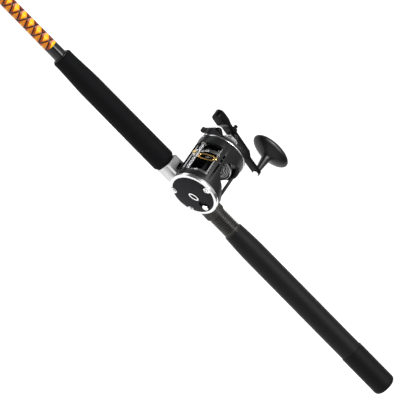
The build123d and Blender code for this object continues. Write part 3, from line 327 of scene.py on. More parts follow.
def threaded(name, rgb, root, crest):
    """Moulded screw thread about the X axis: painted shade darkens the grooves, painted highlight lightens
    the crests, and lighter mottled patches lie on the crests.
    """
    made = Finish(name, rough=0.36, specular=0.35)
    x, y, z = made.axes()
    height = made.radius(y, z).step(root, crest)
    mottle = made.noise(160.0, 4.0, 0.6)
    grit = made.noise(2400.0, 2.0)
    # painted shade in the grooves and painted highlight on the crests, set by radius
    tone = made.mix(height, shade(rgb, 0.12), shade(rgb, 1.5))
    tone = made.mix(mottle.step(0.4, 0.7) * height * 0.4, tone, shade(rgb, 2.4))
    return made.done(tone, mottle * 0.16 + 0.26 + grit * 0.06, grit, 0.00003, 0.6)


def foam(name, rgb):
    """Closed-cell foam: sanded cells with light specks and soft, dull sheen."""
    made = Finish(name, rough=0.74, specular=0.10)
    cell = made.cells(1300.0)
    speck = made.noise(2600.0, 2.0)
    wide = made.noise(60.0, 3.0)
    tone = made.mix(wide, shade(rgb, 0.78), shade(rgb, 1.25))
    tone = made.mix(speck.step(0.56, 0.74) * 0.5, tone, shade(rgb, 2.6))
    tone = made.mix(cell.step(0.42, 0.62) * 0.7, tone, shade(rgb, 0.35))
    return made.done(tone, wide * 0.12 + 0.64 + speck * 0.08, cell * -0.7 + speck * 0.4, 0.00018, 0.75)


def shrink_tube(name, rgb):
    """Textured grip tube: a fine woven pattern pressed into satin rubber."""
    made = Finish(name, rough=0.52, specular=0.15)
    x, y, z = made.axes()
    around = made.turn(y, z)
    first = ((x / (1.6 * MM) + around * 48.0).fraction() - 0.5).size() * 2.0
    second = ((x / (1.6 * MM) - around * 48.0).fraction() - 0.5).size() * 2.0
    weave = first.most(second)
    wide = made.noise(45.0, 4.0, 0.6)
    speck = made.noise(1900.0, 2.0)
    tone = made.mix(wide, shade(rgb, 0.80), shade(rgb, 1.22))
    tone = made.mix(weave.step(0.62, 0.98) * 0.5, tone, shade(rgb, 0.55))
    tone = made.mix(speck.step(0.58, 0.75) * 0.35, tone, shade(rgb, 2.0))
    height = speck * 0.3 - weave.step(0.6, 1.0) * 0.7
    return made.done(tone, wide * 0.14 + 0.42 + weave * 0.08, height, 0.00009, 0.8)


def diamonds(name, sizes, tints):
    """Crossed thread bands laid as nested diamonds under a clear coat."""
    made = Finish(name, rough=0.5, coat=0.2, coat_rough=0.08, specular=0.12)
    x, y, z = made.axes()
    around = made.turn(y, z) - WRAP_TURN
    along_units = (x - sizes.diamond_start) / sizes.diamond
    right = (along_units + around * 2.0).fraction() - 0.5
    left = (along_units - around * 2.0).fraction() - 0.5
    far = right.size().most(left.size()) * 2.0
    lay = made.noise(420.0, 3.0, 0.6)
    edge = far + (lay - 0.5) * 0.07
    tone = made.mix(edge.step(0.46, 0.66), tints.yellow, tints.orange)
    ragged = (lay - 0.5) * 0.16
    streak = (right * 2.0 + ragged).step(0.30, 0.46)
    tone = made.mix(streak * 0.9, tone, tints.red)
    rose = (left * 2.0 + ragged).step(0.36, 0.56) * (1 - streak * 0.6)
    tone = made.mix(rose * 0.85, tone, tints.pink)
    beside = ((around * 4.0 - right + left) * 0.5 + 0.25).fraction().step(0.4, 0.6)
    upper = around.fraction().step(0.48, 0.52)
    lower_tone = made.mix(edge.step(0.20, 0.50), blended(tints.yellow, tints.orange, 0.45), tints.orange)
    lower_tone = made.mix((right * 2.0 + ragged).step(0.05, 0.30) * 0.85, lower_tone, tints.red)
    upper_tone = made.mix(edge.step(0.15, 0.55), blended(tints.orange, tints.red, 0.75),
                          shade(tints.red, 0.7))
    tone = made.mix(beside, tone, made.mix(upper, lower_tone, upper_tone))
    tone = made.mix(edge.step(0.70, 0.80) * 0.5, tone, tints.red)
    outline = edge.step(0.80, 0.88)
    tone = made.mix(outline, tone, tints.outline)
    over = right.size().over(left.size())
    strands = ((along_units + around * 2.0) * 26.0).fraction()
    crossing = ((along_units - around * 2.0) * 26.0).fraction()
    strand = made.node("ShaderNodeMix", {"data_type": "FLOAT"}, {0: over, 2: strands, 3: crossing})
    cord = 1 - (strand - 0.5).size() * 2.0
    tone = made.mix((1 - cord.step(0.0, 0.35)) * 0.38, tone, shade(tints.red, 0.5))
    tone = made.mix(lay.step(0.55, 0.8) * 0.25, tone, shade(blended(tints.yellow, (1, 1, 0.9), 0.3), 1.0))
    return made.done(tone, cord * 0.1 + 0.36, cord, 0.00007, 0.5)


def winding(name, rgb, pitch, coat=1.0):
    """Bound thread under clear coat: fine turns round the rod."""
    made = Finish(name, rough=0.4, coat=coat, coat_rough=0.06, specular=0.10)
    x, y, z = made.axes()
    around = made.turn(y, z)
    turn = (x / pitch + around).fraction()
    cord = 1 - (turn - 0.5).size() * 2.0
    lay = made.noise(500.0, 3.0)
    tone = made.mix(cord.step(0.0, 0.4), shade(rgb, 0.35), shade(rgb, 1.15))
    tone = made.mix(lay.step(0.5, 0.8) * 0.4, tone, shade(rgb, 2.2))
    return made.done(tone, lay * 0.15 + 0.32, cord, 0.00006, 0.5)


def graphite_tube(name, rgb):
    """Clear-coated blank: faint spiral tape marks under gloss."""
    made = Finish(name, rough=0.3, coat=1.0, coat_rough=0.03)
    x, y, z = made.axes()
    around = made.turn(y, z)
    tape = ((x / 0.0035 + around).fraction() - 0.5).size() * 2.0
    fibre = made.noise(900.0, 3.0)
    tone = made.mix(tape.step(0.75, 1.0) * 0.6, shade(rgb, 0.9), shade(rgb, 2.0))
    tone = made.mix(fibre * 0.5, tone, shade(rgb, 1.8))
    return made.done(tone, fibre * 0.2 + 0.2, tape, 0.00003, 0.4)


def spool_finish(name, rgb, steel, centre):
    """Black anodised spool with bright turned rings on its line faces and rims."""
    made = Finish(name, rough=0.28, metal=0.75)
    x, y, z = made.axes(centre)
    out = made.radius(x, z) / MM
    ring = 1 - ((out / 2.1).fraction() - 0.5).size() * 2.0
    rings = ring.step(0.62, 0.86) * out.step(13.0, 13.6) * (1 - out.step(23.2, 23.8))
    rim = out.step(24.6, 25.2)
    fine = made.node("ShaderNodeTexNoise", {"noise_dimensions": "2D"}, {
        "Vector": made.vector(out, y / MM),
        "Scale": 5.0, "Detail": 2.0}, "Fac")
    bright = (rings * 0.75).most(rim)
    tone = made.mix(bright, made.mix(fine, shade(rgb, 0.7), shade(rgb, 2.2)), shade(steel, 0.75))
    made.send("Metallic", bright * 0.35 + 0.65)
    return made.done(tone, 0.34 - bright * 0.16 + fine * 0.10, fine, 0.000012, 0.5)


def ceramic(name):
    made = Finish(name, rough=0.08, specular=0.6, coat=0.6)
    cloud = made.noise(700.0, 3.0)
    tone = made.mix(cloud, (0.012, 0.012, 0.014), (0.03, 0.031, 0.035))
    return made.done(tone, cloud * 0.1 + 0.05)


def fibre(name):
    """Woven drag washer."""
    made = Finish(name, rough=0.5)
    x, y, z = made.axes()
    check = ((x * 1100.0).sine() * (z * 1100.0).sine()).step(-0.3, 0.3)
    speck = made.noise(2500.0)
    tone = made.mix(check, (0.02, 0.02, 0.022), (0.06, 0.06, 0.065))
    return made.done(tone, speck * 0.3 + 0.35, check + speck, 0.00003, 0.6)


# ------------------------------------------------------------------ mesh tools
def linked(name, data):
    """A new object in the scene."""
    made = bpy.data.objects.new(name, data)
    bpy.context.scene.collection.objects.link(made)
    return made


def put(name, mesh, body, material, replaced):
    """Links a finished mesh as a piece on a body, in place of CAD nodes."""
    made = linked(name, mesh)
    mesh.materials.clear()
    mesh.materials.append(material)
    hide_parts(*replaced)
    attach(made, body)


def written(bm, name, sharp=None):
    """The mesh of a bmesh, smooth with sharp corners where an angle in degrees is given."""
    mesh = bpy.data.meshes.new(name)
    bm.to_mesh(mesh)
    bm.free()
    if sharp is not None:
        mesh.shade_smooth()
        mesh.set_sharp_from_angle(angle=math.radians(sharp))
    return mesh


def evaluated(made, name):
    """Plain mesh of an object with its modifiers applied."""
    bpy.context.view_layer.update()
    graph = bpy.context.evaluated_depsgraph_get()
    mesh = bpy.data.meshes.new_from_object(made.evaluated_get(graph), depsgraph=graph)
    mesh.name = name
    return mesh


def close_up(bm, name, sharp=32.0, merge=1e-7):
    """Merges doubles, turns faces outward and gives smooth shading with sharp corners."""
    bmesh.ops.remove_doubles(bm, verts=bm.verts, dist=merge)
    loose = [f for f in bm.faces if f.calc_area() < 1e-14]
    bmesh.ops.delete(bm, geom=loose, context="FACES_ONLY")
    stray = [e for e in bm.edges if not e.link_faces]
    bmesh.ops.delete(bm, geom=stray, context="EDGES")
    bmesh.ops.recalc_face_normals(bm, faces=bm.faces)
    return written(bm, name, sharp)


def loft(rings, closed=True, capped=True):
    """A skin over rings of points; each ring runs round and all have the same count."""
    bm = bmesh.new()
    loops = [[bm.verts.new(p) for p in ring] for ring in rings]
    for low, high in zip(loops, loops[1:]):
        for i in range(len(low) if closed else len(low) - 1):
            j = (i + 1) % len(low)
            bm.faces.new((low[i], low[j], high[j], high[i]))
    if capped:
        for loop in (loops[0], loops[-1]):
            middle = bm.verts.new(sum((v.co for v in loop), Vector()) / len(loop))
            for i in range(len(loop)):
                bm.faces.new((loop[i], loop[(i + 1) % len(loop)], middle))
    return bm


def circle(centre, side, up, steps):
    """Points of an ellipse whose half axes are side and up."""
    return [centre + side * math.cos(TURN * k / steps) + up * math.sin(TURN * k / steps)
            for k in range(steps)]


def spaced(start, end, steps):
    return [start + (end - start) * i / steps for i in range(steps + 1)]


def basis(axis):
    """Two directions square to an axis; for X they are +Y and +Z, for Y they are +X and +Z."""
    return {"x": (Vector((0, 1, 0)), Vector((0, 0, 1)), Vector((1, 0, 0))),
            "y": (Vector((1, 0, 0)), Vector((0, 0, 1)), Vector((0, 1, 0)))}[axis]


def turned_rings(profile, axis, centre, steps, shape=None):
    """Rings for a lathe; profile holds (place along the axis, radius) in mm. shape may alter a radius."""
    side, up, along_axis = basis(axis)
    centre = Vector(centre)
    rings = []
    for place, radius in profile:
        ring = []
        for i in range(steps):
            angle = TURN * i / steps
            r = shape(place, radius, angle) if shape else radius
            ring.append(centre + (along_axis * place + side * math.sin(angle) * r
                                  + up * math.cos(angle) * r) * MM)
        rings.append(ring)
    return rings


def lathe(name, profile, axis, centre, steps=96, shape=None, hollow=False, sharp=32.0):
    """Turned solid. A hollow profile closes on itself; an open one is capped on the axis."""
    rings = turned_rings(profile, axis, centre, steps, shape)
    if hollow:
        rings.append(rings[0])
    return close_up(loft(rings, capped=not hollow), name, sharp)


def arc(centre, radius, start, end, steps):
    """Points of a profile arc in degrees, in the (along, radius) plane."""
    return [(centre[0] + radius * math.cos(math.radians(angle)),
             centre[1] + radius * math.sin(math.radians(angle)))
            for angle in spaced(start, end, steps)]


def smoothed(points, steps):
    """Points of a Catmull-Rom curve through rows of numbers."""
    rows = [points[0], *points, points[-1]]
    out = []
    for a, b, c, d in zip(rows, rows[1:], rows[2:], rows[3:]):
        for i in range(steps):
            t = i / steps
            out.append(tuple(
                0.5 * (2 * q + (r - p) * t + (2 * p - 5 * q + 4 * r - s) * t * t
                       + (3 * q - p - 3 * r + s) * t**3)
                for p, q, r, s in zip(a, b, c, d)))
    out.append(tuple(points[-1]))
    return out


def tube_rings(path, radius, steps):
    """Rings along a path of Vectors in metres."""
    rings = []
    normal = None
    for i, point in enumerate(path):
        heading = (path[min(i + 1, len(path) - 1)] - path[max(i - 1, 0)]).normalized()
        if normal is None:
            normal = heading.orthogonal().normalized()
        normal = (normal - heading * normal.dot(heading)).normalized()
        other = heading.cross(normal)
        rings.append(circle(point, normal * radius, other * radius, steps))
    return rings


def eased(mesh_object, name, width, sharp=30.0, segments=2):
    """Copy of a CAD mesh, merged, with its sharp edges slightly rounded."""
    bm = bmesh.new()
    bm.from_mesh(mesh_object.data)
    bmesh.ops.remove_doubles(bm, verts=bm.verts, dist=2e-6)
    bmesh.ops.dissolve_limit(bm, angle_limit=math.radians(1.0), verts=bm.verts, edges=bm.edges)
    edges = [e for e in bm.edges if len(e.link_faces) == 2 and e.calc_face_angle(0.0) > math.radians(sharp)]
    bmesh.ops.bevel(bm, geom=edges, offset=width, offset_type="OFFSET", segments=segments, profile=0.5,
                    affect="EDGES", clamp_overlap=True, harden_normals=False)
    bmesh.ops.triangulate(bm, faces=[f for f in bm.faces if len(f.verts) > 4])
    return written(bm, name, 38.0)


# ------------------------------------------------------------------ geometry node recipes
class Recipe(Tree):
    """A geometry tree with named inputs."""

    def __init__(self, name, inputs):
        super().__init__(bpy.data.node_groups.new(name, "GeometryNodeTree"))
        kinds = {"float": "NodeSocketFloat", "int": "NodeSocketInt", "vector": "NodeSocketVector",
                 "object": "NodeSocketObject", "material": "NodeSocketMaterial"}
        self.keys = {}
        for label, kind in inputs.items():
            made = self.tree.interface.new_socket(label, in_out="INPUT", socket_type=kinds[kind])
            self.keys[label] = made.identifier
        self.tree.interface.new_socket("Geometry", in_out="OUTPUT", socket_type="NodeSocketGeometry")
        entry = self.tree.nodes.new("NodeGroupInput")
        self.given = {label: Wire(self, entry.outputs[label]) for label in inputs}

    def part(self, label):
        """Geometry of an object input."""
        return self.node("GeometryNodeObjectInfo", {"transform_space": "ORIGINAL"},
                         {"Object": self.given[label]}, "Geometry")

    def finish(self, geometry):
        real = self.node("GeometryNodeRealizeInstances", None, {"Geometry": geometry})
        dressed = self.node("GeometryNodeSetMaterial", None,
                            {"Geometry": real, "Material": self.given["Material"]})
        leave = self.tree.nodes.new("NodeGroupOutput")
        self.tree.links.new(dressed.socket, leave.inputs["Geometry"])

    def build(self, name, values):
        """Runs the tree on an empty mesh and returns the plain mesh it makes."""
        carrier = linked(name + "_carrier", bpy.data.meshes.new(name + "_seed"))
        modifier = carrier.modifiers.new("Recipe", "NODES")
        modifier.node_group = self.tree
        for label, value in values.items():
            modifier[self.keys[label]] = value
        mesh = evaluated(carrier, name)
        carrier.modifiers.remove(modifier)
        bpy.data.objects.remove(carrier)
        if not len(mesh.polygons):
            raise RuntimeError(f"the recipe for {name} made nothing")
        return mesh


def thread_turns():
    """Turns of thread along +X: round beads whose radius runs evenly from one end to the other."""
    made = Recipe("Thread turns", {
        "Start": "vector", "Pitch": "float", "Turns": "int", "First Radius": "float",
        "Last Radius": "float", "Rise": "float", "Thread": "float", "Material": "material"})
    given = made.given
    row = made.node("GeometryNodeMeshLine", {"mode": "OFFSET"}, {
        "Count": given["Turns"], "Start Location": given["Start"],
        "Offset": made.vector(given["Pitch"])})
    hoop = made.node("GeometryNodeCurvePrimitiveCircle", {"mode": "RADIUS"},
                     {"Resolution": 28, "Radius": 1.0})
    bead = made.node("GeometryNodeCurvePrimitiveCircle", {"mode": "RADIUS"},
                     {"Resolution": 5, "Radius": given["Thread"] / given["First Radius"]})
    ring = made.node("GeometryNodeCurveToMesh", None, {"Curve": hoop, "Profile Curve": bead})
    index = made.node("GeometryNodeInputIndex")
    share = index / (given["Turns"] - 1)
    near_end = share.least(1 - share) * 2.0
    reach = given["First Radius"] + (given["Last Radius"] - given["First Radius"]) * share
    reach = reach + given["Rise"] * near_end.step(0.0, 0.42)
    rings = made.node("GeometryNodeInstanceOnPoints", None, {
        "Points": row, "Instance": ring, "Rotation": (0.0, math.pi / 2, 0.0),
        "Scale": made.vector(reach, reach, reach)})
    made.finish(rings)
    return made


def ridge_circle():
    """A part repeated round an axis; the part is made for radius zero, pointing along +Z, axis +Y."""
    made = Recipe("Ridge circle", {"Part": "object", "Count": "int", "Radius": "float", "Centre": "vector",
                                   "Material": "material"})
    given = made.given
    row = made.node("GeometryNodeMeshLine", {"mode": "OFFSET"},
                    {"Count": given["Count"], "Offset": (0.0, 0.0, 0.0)})
    part = made.part("Part")
    lifted = made.node("GeometryNodeTransform", None, {
        "Geometry": part, "Translation": made.vector(0.0, 0.0, given["Radius"])})
    angle = made.node("GeometryNodeInputIndex") * TURN / given["Count"]
    around = made.node("GeometryNodeInstanceOnPoints", None, {
        "Points": row, "Instance": lifted, "Rotation": made.vector(0.0, angle)})
    moved = made.node("GeometryNodeTransform", None, {"Geometry": around, "Translation": given["Centre"]})
    made.finish(moved)
    return made


def screw_field():
    """Screws on the vertices of a plan; each turns about its own axis by a fixed random amount."""
    made = Recipe("Screw field", {"Plan": "object", "Screw": "object", "Flip": "float", "Seed": "int",
                                  "Material": "material"})
    given = made.given
    plan = made.part("Plan")
    screw = made.part("Screw")
    turn = made.node("FunctionNodeRandomValue", {"data_type": "FLOAT"},
                     {2: 0.0, 3: math.pi, 8: given["Seed"]}, 1)
    turned_screw = made.node("GeometryNodeInstanceOnPoints", None, {
        "Points": plan, "Instance": screw,
        "Rotation": made.vector(given["Flip"], turn)})
    made.finish(turned_screw)
    return made


# ------------------------------------------------------------------ shared places
SPOOL = Vector((387.2, 0.0, 49.5)) * MM
CRANK = SPOOL + Vector((-2.0, 0.0, -19.397)) * MM
KNOB = Vector((321.379, 0.0, 15.369)) * MM
WORM = SPOOL + Vector((29.6, 0.0, 7.2)) * MM
TOP_ROD = SPOOL + Vector((11.4, 0.0, 28.6)) * MM
CARRIAGE_Y = -3.5
# Blank: (X, radius). Guides: (X, inner radius of the ring). In mm.
BLANK = [(8.0, 8.8), (620.0, 8.8), (646.0, 8.45), (740.0, 8.15), (1160.0, 6.2), (1425.0, 4.2),
         (1668.0, 2.5)]
GUIDES = [(905.0, 9.0), (1085.0, 7.0), (1240.0, 5.6), (1370.0, 5.0), (1480.0, 4.5), (1580.0, 4.2)]
TRIM = (627.6, 646.0)
WRAP_END = 826.7
# Height of bound thread and its coat over the blank.
WINDING = 0.65
# The foot's front tongue starts here, inside the front hood; from here on the foot is painted dark as
# painted shade.
TONGUE = 405.6
# The wrap's crossings sit this share of a turn round from straight up.
WRAP_TURN = 10.0 / 360.0
RING_WALL = 1.5
INSERT_WALL = 1.1
palette = {}


def blank_radius(x):
    """Radius of the blank in mm at X = x mm."""
    for (x0, r0), (x1, r1) in zip(BLANK, BLANK[1:]):
        if x <= x1:
            return r0 + (r1 - r0) * (x - x0) / (x1 - x0)
    return BLANK[-1][1]


def ramp(value, start, end):
    """0 at start, 1 at end, smooth between."""
    t = min(1.0, max(0.0, (value - start) / (end - start)))
    return t * t * (3 - 2 * t)


def wave(value):
    """Distance from the middle of a unit cell, 0 to 1."""
    return abs(value - math.floor(value) - 0.5) * 2.0


def dress(**finishes):
    """Gives CAD nodes their finishes, as finish="node node"."""
    for finish, names in finishes.items():
        for name in names.split():
            node = nodes[name]
            if not node.material_slots:
                node.data.materials.append(palette[finish])
            for place in node.material_slots:
                place.material = palette[finish]


def joined(name, meshes, sharp=32.0):
    """One mesh from several closed ones."""
    bm = bmesh.new()
    for mesh in meshes:
        bm.from_mesh(mesh)
    return written(bm, name, sharp)


def carved(name, solid, cutter):
    """Solid minus cutter."""
    objects = [linked(name + "_solid", solid), linked(name + "_cutter", cutter)]
    cut = objects[0].modifiers.new("Cut", "BOOLEAN")
    cut.operation = "DIFFERENCE"
    cut.solver = "EXACT"
    cut.object = objects[1]
    mesh = evaluated(objects[0], name)
    for made in objects:
        bpy.data.objects.remove(made)
    return mesh


def block(size, centre=(0, 0, 0)):
    """Plain cuboid mesh in mm, used as a cutter."""
    bm = bmesh.new()
    bmesh.ops.create_cube(bm, size=1.0)
    bmesh.ops.scale(bm, vec=Vector(size) * MM, verts=bm.verts)
    bmesh.ops.translate(bm, vec=Vector(centre) * MM, verts=bm.verts)
    return written(bm, "cutter")


def ridged(name, half, steps, how_many, radius, centre, material):
    """A ring of rounded grip ridges; half holds one end of a ridge's outline, in mm."""
    outline = [(-place, rise) for place, rise in reversed(half)] + half
    part = linked(name + "_ridge_part", lathe(name + "_ridge", outline, "y", (0, 0, 0), steps))
    ridges = ridge_circle().build(name + "_ridges", {
        "Part": part, "Count": how_many, "Radius": radius * MM, "Centre": centre, "Material": material})
    bpy.data.objects.remove(part)
    return ridges


class Maker(bpy.types.Operator):
    """Shared by the operators below."""

    bl_options = {"REGISTER", "UNDO"}


# ------------------------------------------------------------------ stage
class ROD_OT_stage(Maker):
    """Pale floor, soft light and the camera"""

    bl_idname = "rod.stage"
    bl_label = "Stage"

    def execute(self, context):
        sizes = context.scene.rod_stage
        scene = context.scene
        scene.view_settings.view_transform = "Standard"
        low, high = cad_box
        reach = 40.0
        height = low.z - sizes.floor_drop
        mesh = bpy.data.meshes.new("floor")
        corners = [(-reach, -reach), (reach, -reach), (reach, reach), (-reach, reach)]
        mesh.from_pydata([(x, y, height) for x, y in corners], [], [(0, 1, 2, 3)])
        floor = linked("floor", mesh)
        pale = Finish("studio_floor", rough=0.9, specular=0.1)
        tone = pale.mix(pale.noise(3.0, 3.0), (0.83, 0.83, 0.83), (0.87, 0.87, 0.87))
        mesh.materials.append(pale.done(tone))

        world = bpy.data.worlds.new("studio")
        world.use_nodes = True
        scene.world = world
        sky = Tree(world.node_tree)
        direction = sky.node("ShaderNodeTexCoord", output="Generated")
        rise = sky.split(direction)[2].step(-0.1, 0.9)
        glow = sky.node("ShaderNodeValToRGB",
                        {"stops": [(0.0, (0.5, 0.5, 0.5)), (1.0, (1.0, 1.0, 1.0))]}, {0: rise})
        background = sky.tree.nodes["Background"]
        sky.tree.links.new(glow.socket, background.inputs["Color"])
        background.inputs["Strength"].default_value = sizes.world_level
        seen = sky.node("ShaderNodeLightPath", output="Is Camera Ray")
        backdrop = sky.node("ShaderNodeBackground", None,
                            {"Color": (1.0, 1.0, 1.0), "Strength": sizes.backdrop_level})
        both = sky.node("ShaderNodeMixShader", None,
                        {0: seen, 1: Wire(sky, background.outputs[0]), 2: backdrop})
        sky.tree.links.new(both.socket, sky.tree.nodes["World Output"].inputs["Surface"])

        middle = Vector(sizes.look_at)
        back = Vector(sizes.view_from).normalized()
        up = Vector(sizes.view_up)
        right = up.cross(back).normalized()
        up = back.cross(right)
        side = (right + up).normalized()
        down_rod = (right - up).normalized()
        lamps = [
            ("key", back * 0.68 + side * 0.73, 3.1, 27.0),
            ("glint", back * 0.68 + side * 0.58 + down_rod * 0.46, 1.0, 22.0),
            ("fill", back * 0.70 - side * 0.55 + (right - up) * 0.25, 0.6, 60.0),
            ("rim", Vector((-back.x, -back.y, back.z)), 0.5, 70.0),
        ]
        for name, way, power, spread in lamps:
            light = bpy.data.lights.new(name, "SUN")
            light.energy = power
            light.angle = math.radians(spread)
            lamp = linked(name, light)
            lamp.location = middle + way.normalized() * 3.0
            lamp.rotation_mode = "QUATERNION"
            lamp.rotation_quaternion = way.to_track_quat("Z", "Y")

        lens = bpy.data.cameras.new("camera")
        lens.type = "PERSP"
        lens.sensor_width = 36.0
        lens.lens = lens.sensor_width * sizes.distance / sizes.view_width
        lens.clip_start = 0.1
        lens.clip_end = 200.0
        camera = linked("camera", lens)
        axes = Matrix((right, up, back)).transposed()
        camera.matrix_world = Matrix.Translation(middle + back * sizes.distance) @ axes.to_4x4()
        scene.camera = camera
        return {"FINISHED"}


# ------------------------------------------------------------------ finishes used by several pieces
class ROD_OT_finishes(Maker):
    """Mixes the finishes that the pieces share"""

    bl_idname = "rod.finishes"
    bl_label = "Finishes"

    def execute(self, context):
        tints = context.scene.rod_finishes
        sizes = context.scene.rod_sizes
        steel = tints.steel
        along_rod = (60.0, 1800.0, 1800.0)
        palette.update(
            foam=foam("eva_foam", tints.foam),
            grip=shrink_tube("grip_tube", tints.grip),
            cap=moulded("butt_rubber", tints.cap, 0.6, 0.0006, 0.00006, 0.25, 0.14),
            check=moulded("check_plastic", tints.seat, 0.35, 0.0005, 0.00001),
            seat=moulded("seat_graphite", tints.seat, 0.36, 0.0004, 0.00003, 0.3, 0.35, wear=0.05),
            # the seat thread's colour holds painted shade in the grooves and painted highlight on the
            # crests
            thread=threaded("seat_thread", tints.seat, sizes.thread_root, sizes.thread_crest),
            hood=satin("hood_steel", shade(steel, 0.70), 0.33, along_rod),
            # the foot's tongue, seen only through the front hood's window, gets painted shade from TONGUE
            # on
            foot=satin("foot_steel", shade(steel, 0.70), 0.33, along_rod, painted_shade_from=TONGUE * MM),
            wrap=diamonds("diamond_thread", sizes, tints),
            trim=winding("black_thread", (0.0035, 0.0037, 0.0043), 0.4 * MM, 0.7),
            binding=winding("guide_thread", (0.008, 0.008, 0.010), sizes.winding_pitch),
            blank=graphite_tube("blank_graphite", (0.005, 0.005, 0.006)),
            guide=satin("guide_metal", (0.30, 0.30, 0.32), 0.25, (900.0, 900.0, 900.0)),
            ceramic=ceramic("ceramic_ring"),
            reel_frame=moulded("frame_graphite", tints.reel_frame, 0.36, 0.00045, 0.00005, 0.3, 0.17),
            plate=moulded("plate_black", tints.plate, 0.50, 0.0007, 0.00010, 0.3, 0.13),
            steel=satin("polished_steel", steel, 0.16, (500.0, 500.0, 500.0), 0.10),
            ring=turned("turned_steel", shade(steel, 0.93), 0.19, "y", SPOOL),
            shaft=turned("shaft_steel", (0.62, 0.62, 0.64), 0.25, "y", WORM),
            brass=turned("machined_brass", (0.72, 0.50, 0.20), 0.28, "y", CRANK),
            acetal=moulded("acetal", (0.62, 0.60, 0.53), 0.4, 0.0006, 0.00001, 0.1),
            gold=satin("gold_wire", tints.gold, 0.20, (700.0, 700.0, 700.0), 0.15),
            spool=spool_finish("spool_black", tints.black, steel, SPOOL),
            black=moulded("satin_black", tints.black, 0.26, 0.0005, 0.00002, 0.3, 0.18),
            gloss=moulded("gloss_black", shade(tints.black, 0.8), 0.20, 0.0005, 0.00001, 0.3, 0.09),
            soft=moulded("soft_black", shade(tints.cap, 0.9), 0.35, 0.00035, 0.00003, 0.25, 0.42),
            fibre=fibre("drag_fibre"),
        )
        return {"FINISHED"}


# ------------------------------------------------------------------ rod
class ROD_OT_grips(Maker):
    """Blank, butt cap, grips and their rings"""

    bl_idname = "rod.grips"
    bl_label = "Blank and grips"

    def execute(self, context):
        dress(foam="foregrip", grip="rear_grip", cap="butt_cap", check="winding_checks", blank="blank")
        start, end = TRIM
        outer = [(start, blank_radius(start) + 0.1)]
        outer += [(start + 0.9 * (1 - math.cos(a)), blank_radius(start) + WINDING * math.sin(a))
                  for a in (0.4, 0.8, 1.2, math.pi / 2)]
        outer += [(x, blank_radius(x) + WINDING) for x in (632.0, 636.0, 640.0, end - 0.2)]
        outer += [(end, blank_radius(end) + 0.5), (end, blank_radius(end)), (start, blank_radius(start))]
        put("trim_winding", lathe("trim_winding", outer, "x", (0, 0, 0), 96, hollow=True), "root",
            palette["trim"], ("foregrip_binding",))
        return {"FINISHED"}


class ROD_OT_wrap(Maker):
    """Sleeve of the diamond wrap with its coat dipping over the outlines"""

    bl_idname = "rod.wrap"
    bl_label = "Butt wrap"

    def execute(self, context):
        sizes = context.scene.rod_sizes
        period = sizes.diamond / MM
        crossing = sizes.diamond_start / MM
        relief = sizes.wrap_relief / MM

        def coat(place, radius, angle):
            if radius < blank_radius(place) + 0.2:
                return radius
            turn = angle / TURN - WRAP_TURN
            units = (place - crossing) / period
            far = max(wave(units + 2 * turn), wave(units - 2 * turn))
            return radius - relief * ramp(far, 0.70, 0.95)

        start, end = TRIM[1], WRAP_END
        rows = round((end - start) / 0.55)
        profile = [(x, blank_radius(x) + WINDING) for x in spaced(start, end, rows)]
        profile[-1] = (end, blank_radius(end) + 0.35)
        profile += [(end, blank_radius(end)), (start, blank_radius(start))]
        mesh = lathe("butt_wrap_sleeve", profile, "x", (0, 0, 0), 96, coat, hollow=True, sharp=50.0)
        put("butt_wrap_sleeve", mesh, "root", palette["wrap"], ("butt_wrap",))
        return {"FINISHED"}


class ROD_OT_seat(Maker):
    """Reel seat with its screw thread, hoods and lock nut"""

    bl_idname = "rod.seat"
    bl_label = "Reel seat"

    def execute(self, context):
        sizes = context.scene.rod_sizes
        pitch = sizes.thread_pitch / MM
        crest, root = sizes.thread_crest / MM, sizes.thread_root / MM
        start, last, end = 299.6, 341.6, 426.0

        def thread(place, radius, angle):
            if radius < crest - 0.01 or place <= start - 0.4 or place >= last + 0.2:
                return radius
            fade = ramp(place, start - 0.4, start + 2.0) * (1 - ramp(place, last - 2.0, last + 0.2))
            depth = ramp(wave((place - start) / pitch - angle / TURN), 0.30, 0.62)
            return radius - (crest - root) * depth * fade

        profile = [(297.6, 8.8), (297.6, 11.7), (298.0, 12.2)]
        steps = round((last - start) / 0.25)
        profile += [(x, crest) for x in spaced(start, last, steps)]
        profile += [(last + 0.2, crest), (last + 0.3, 12.0), (end - 0.2, 12.0), (end, 11.8), (end, 8.8)]
        mesh = lathe("seat_barrel", profile, "x", (0, 0, 0), 90, thread, hollow=True, sharp=55.0)
        put("seat_barrel", mesh, "root", palette["thread"], ("reel_seat",))

        dress(hood="front_hood", seat="sliding_hood")
        near, far = 329.6, 339.8
        profile = [(near, 12.3), (near, 12.8), (near + 0.5, 13.25), (far - 0.4, 13.25), (far, 12.95),
                   (far, 12.3)]
        body = lathe("nut_body", profile, "x", (0, 0, 0), 96, hollow=True)
        half = [(3.4, 0.5), (3.8, 0.35), (3.9, 0)]
        ridges = ridged("nut", half, 10, sizes.nut_ridges, 13.2, (0.0, 0.0, 0.0), palette["seat"])
        ridges.transform(Matrix.Translation(((near + far) / 2 * MM, 0, 0))
                         @ Matrix.Rotation(-math.pi / 2, 4, "Z"))
        put("lock_nut_ridged", joined("lock_nut_ridged", [body, ridges]), "lock_nut", palette["seat"],
            ("lock_nut",))
        return {"FINISHED"}


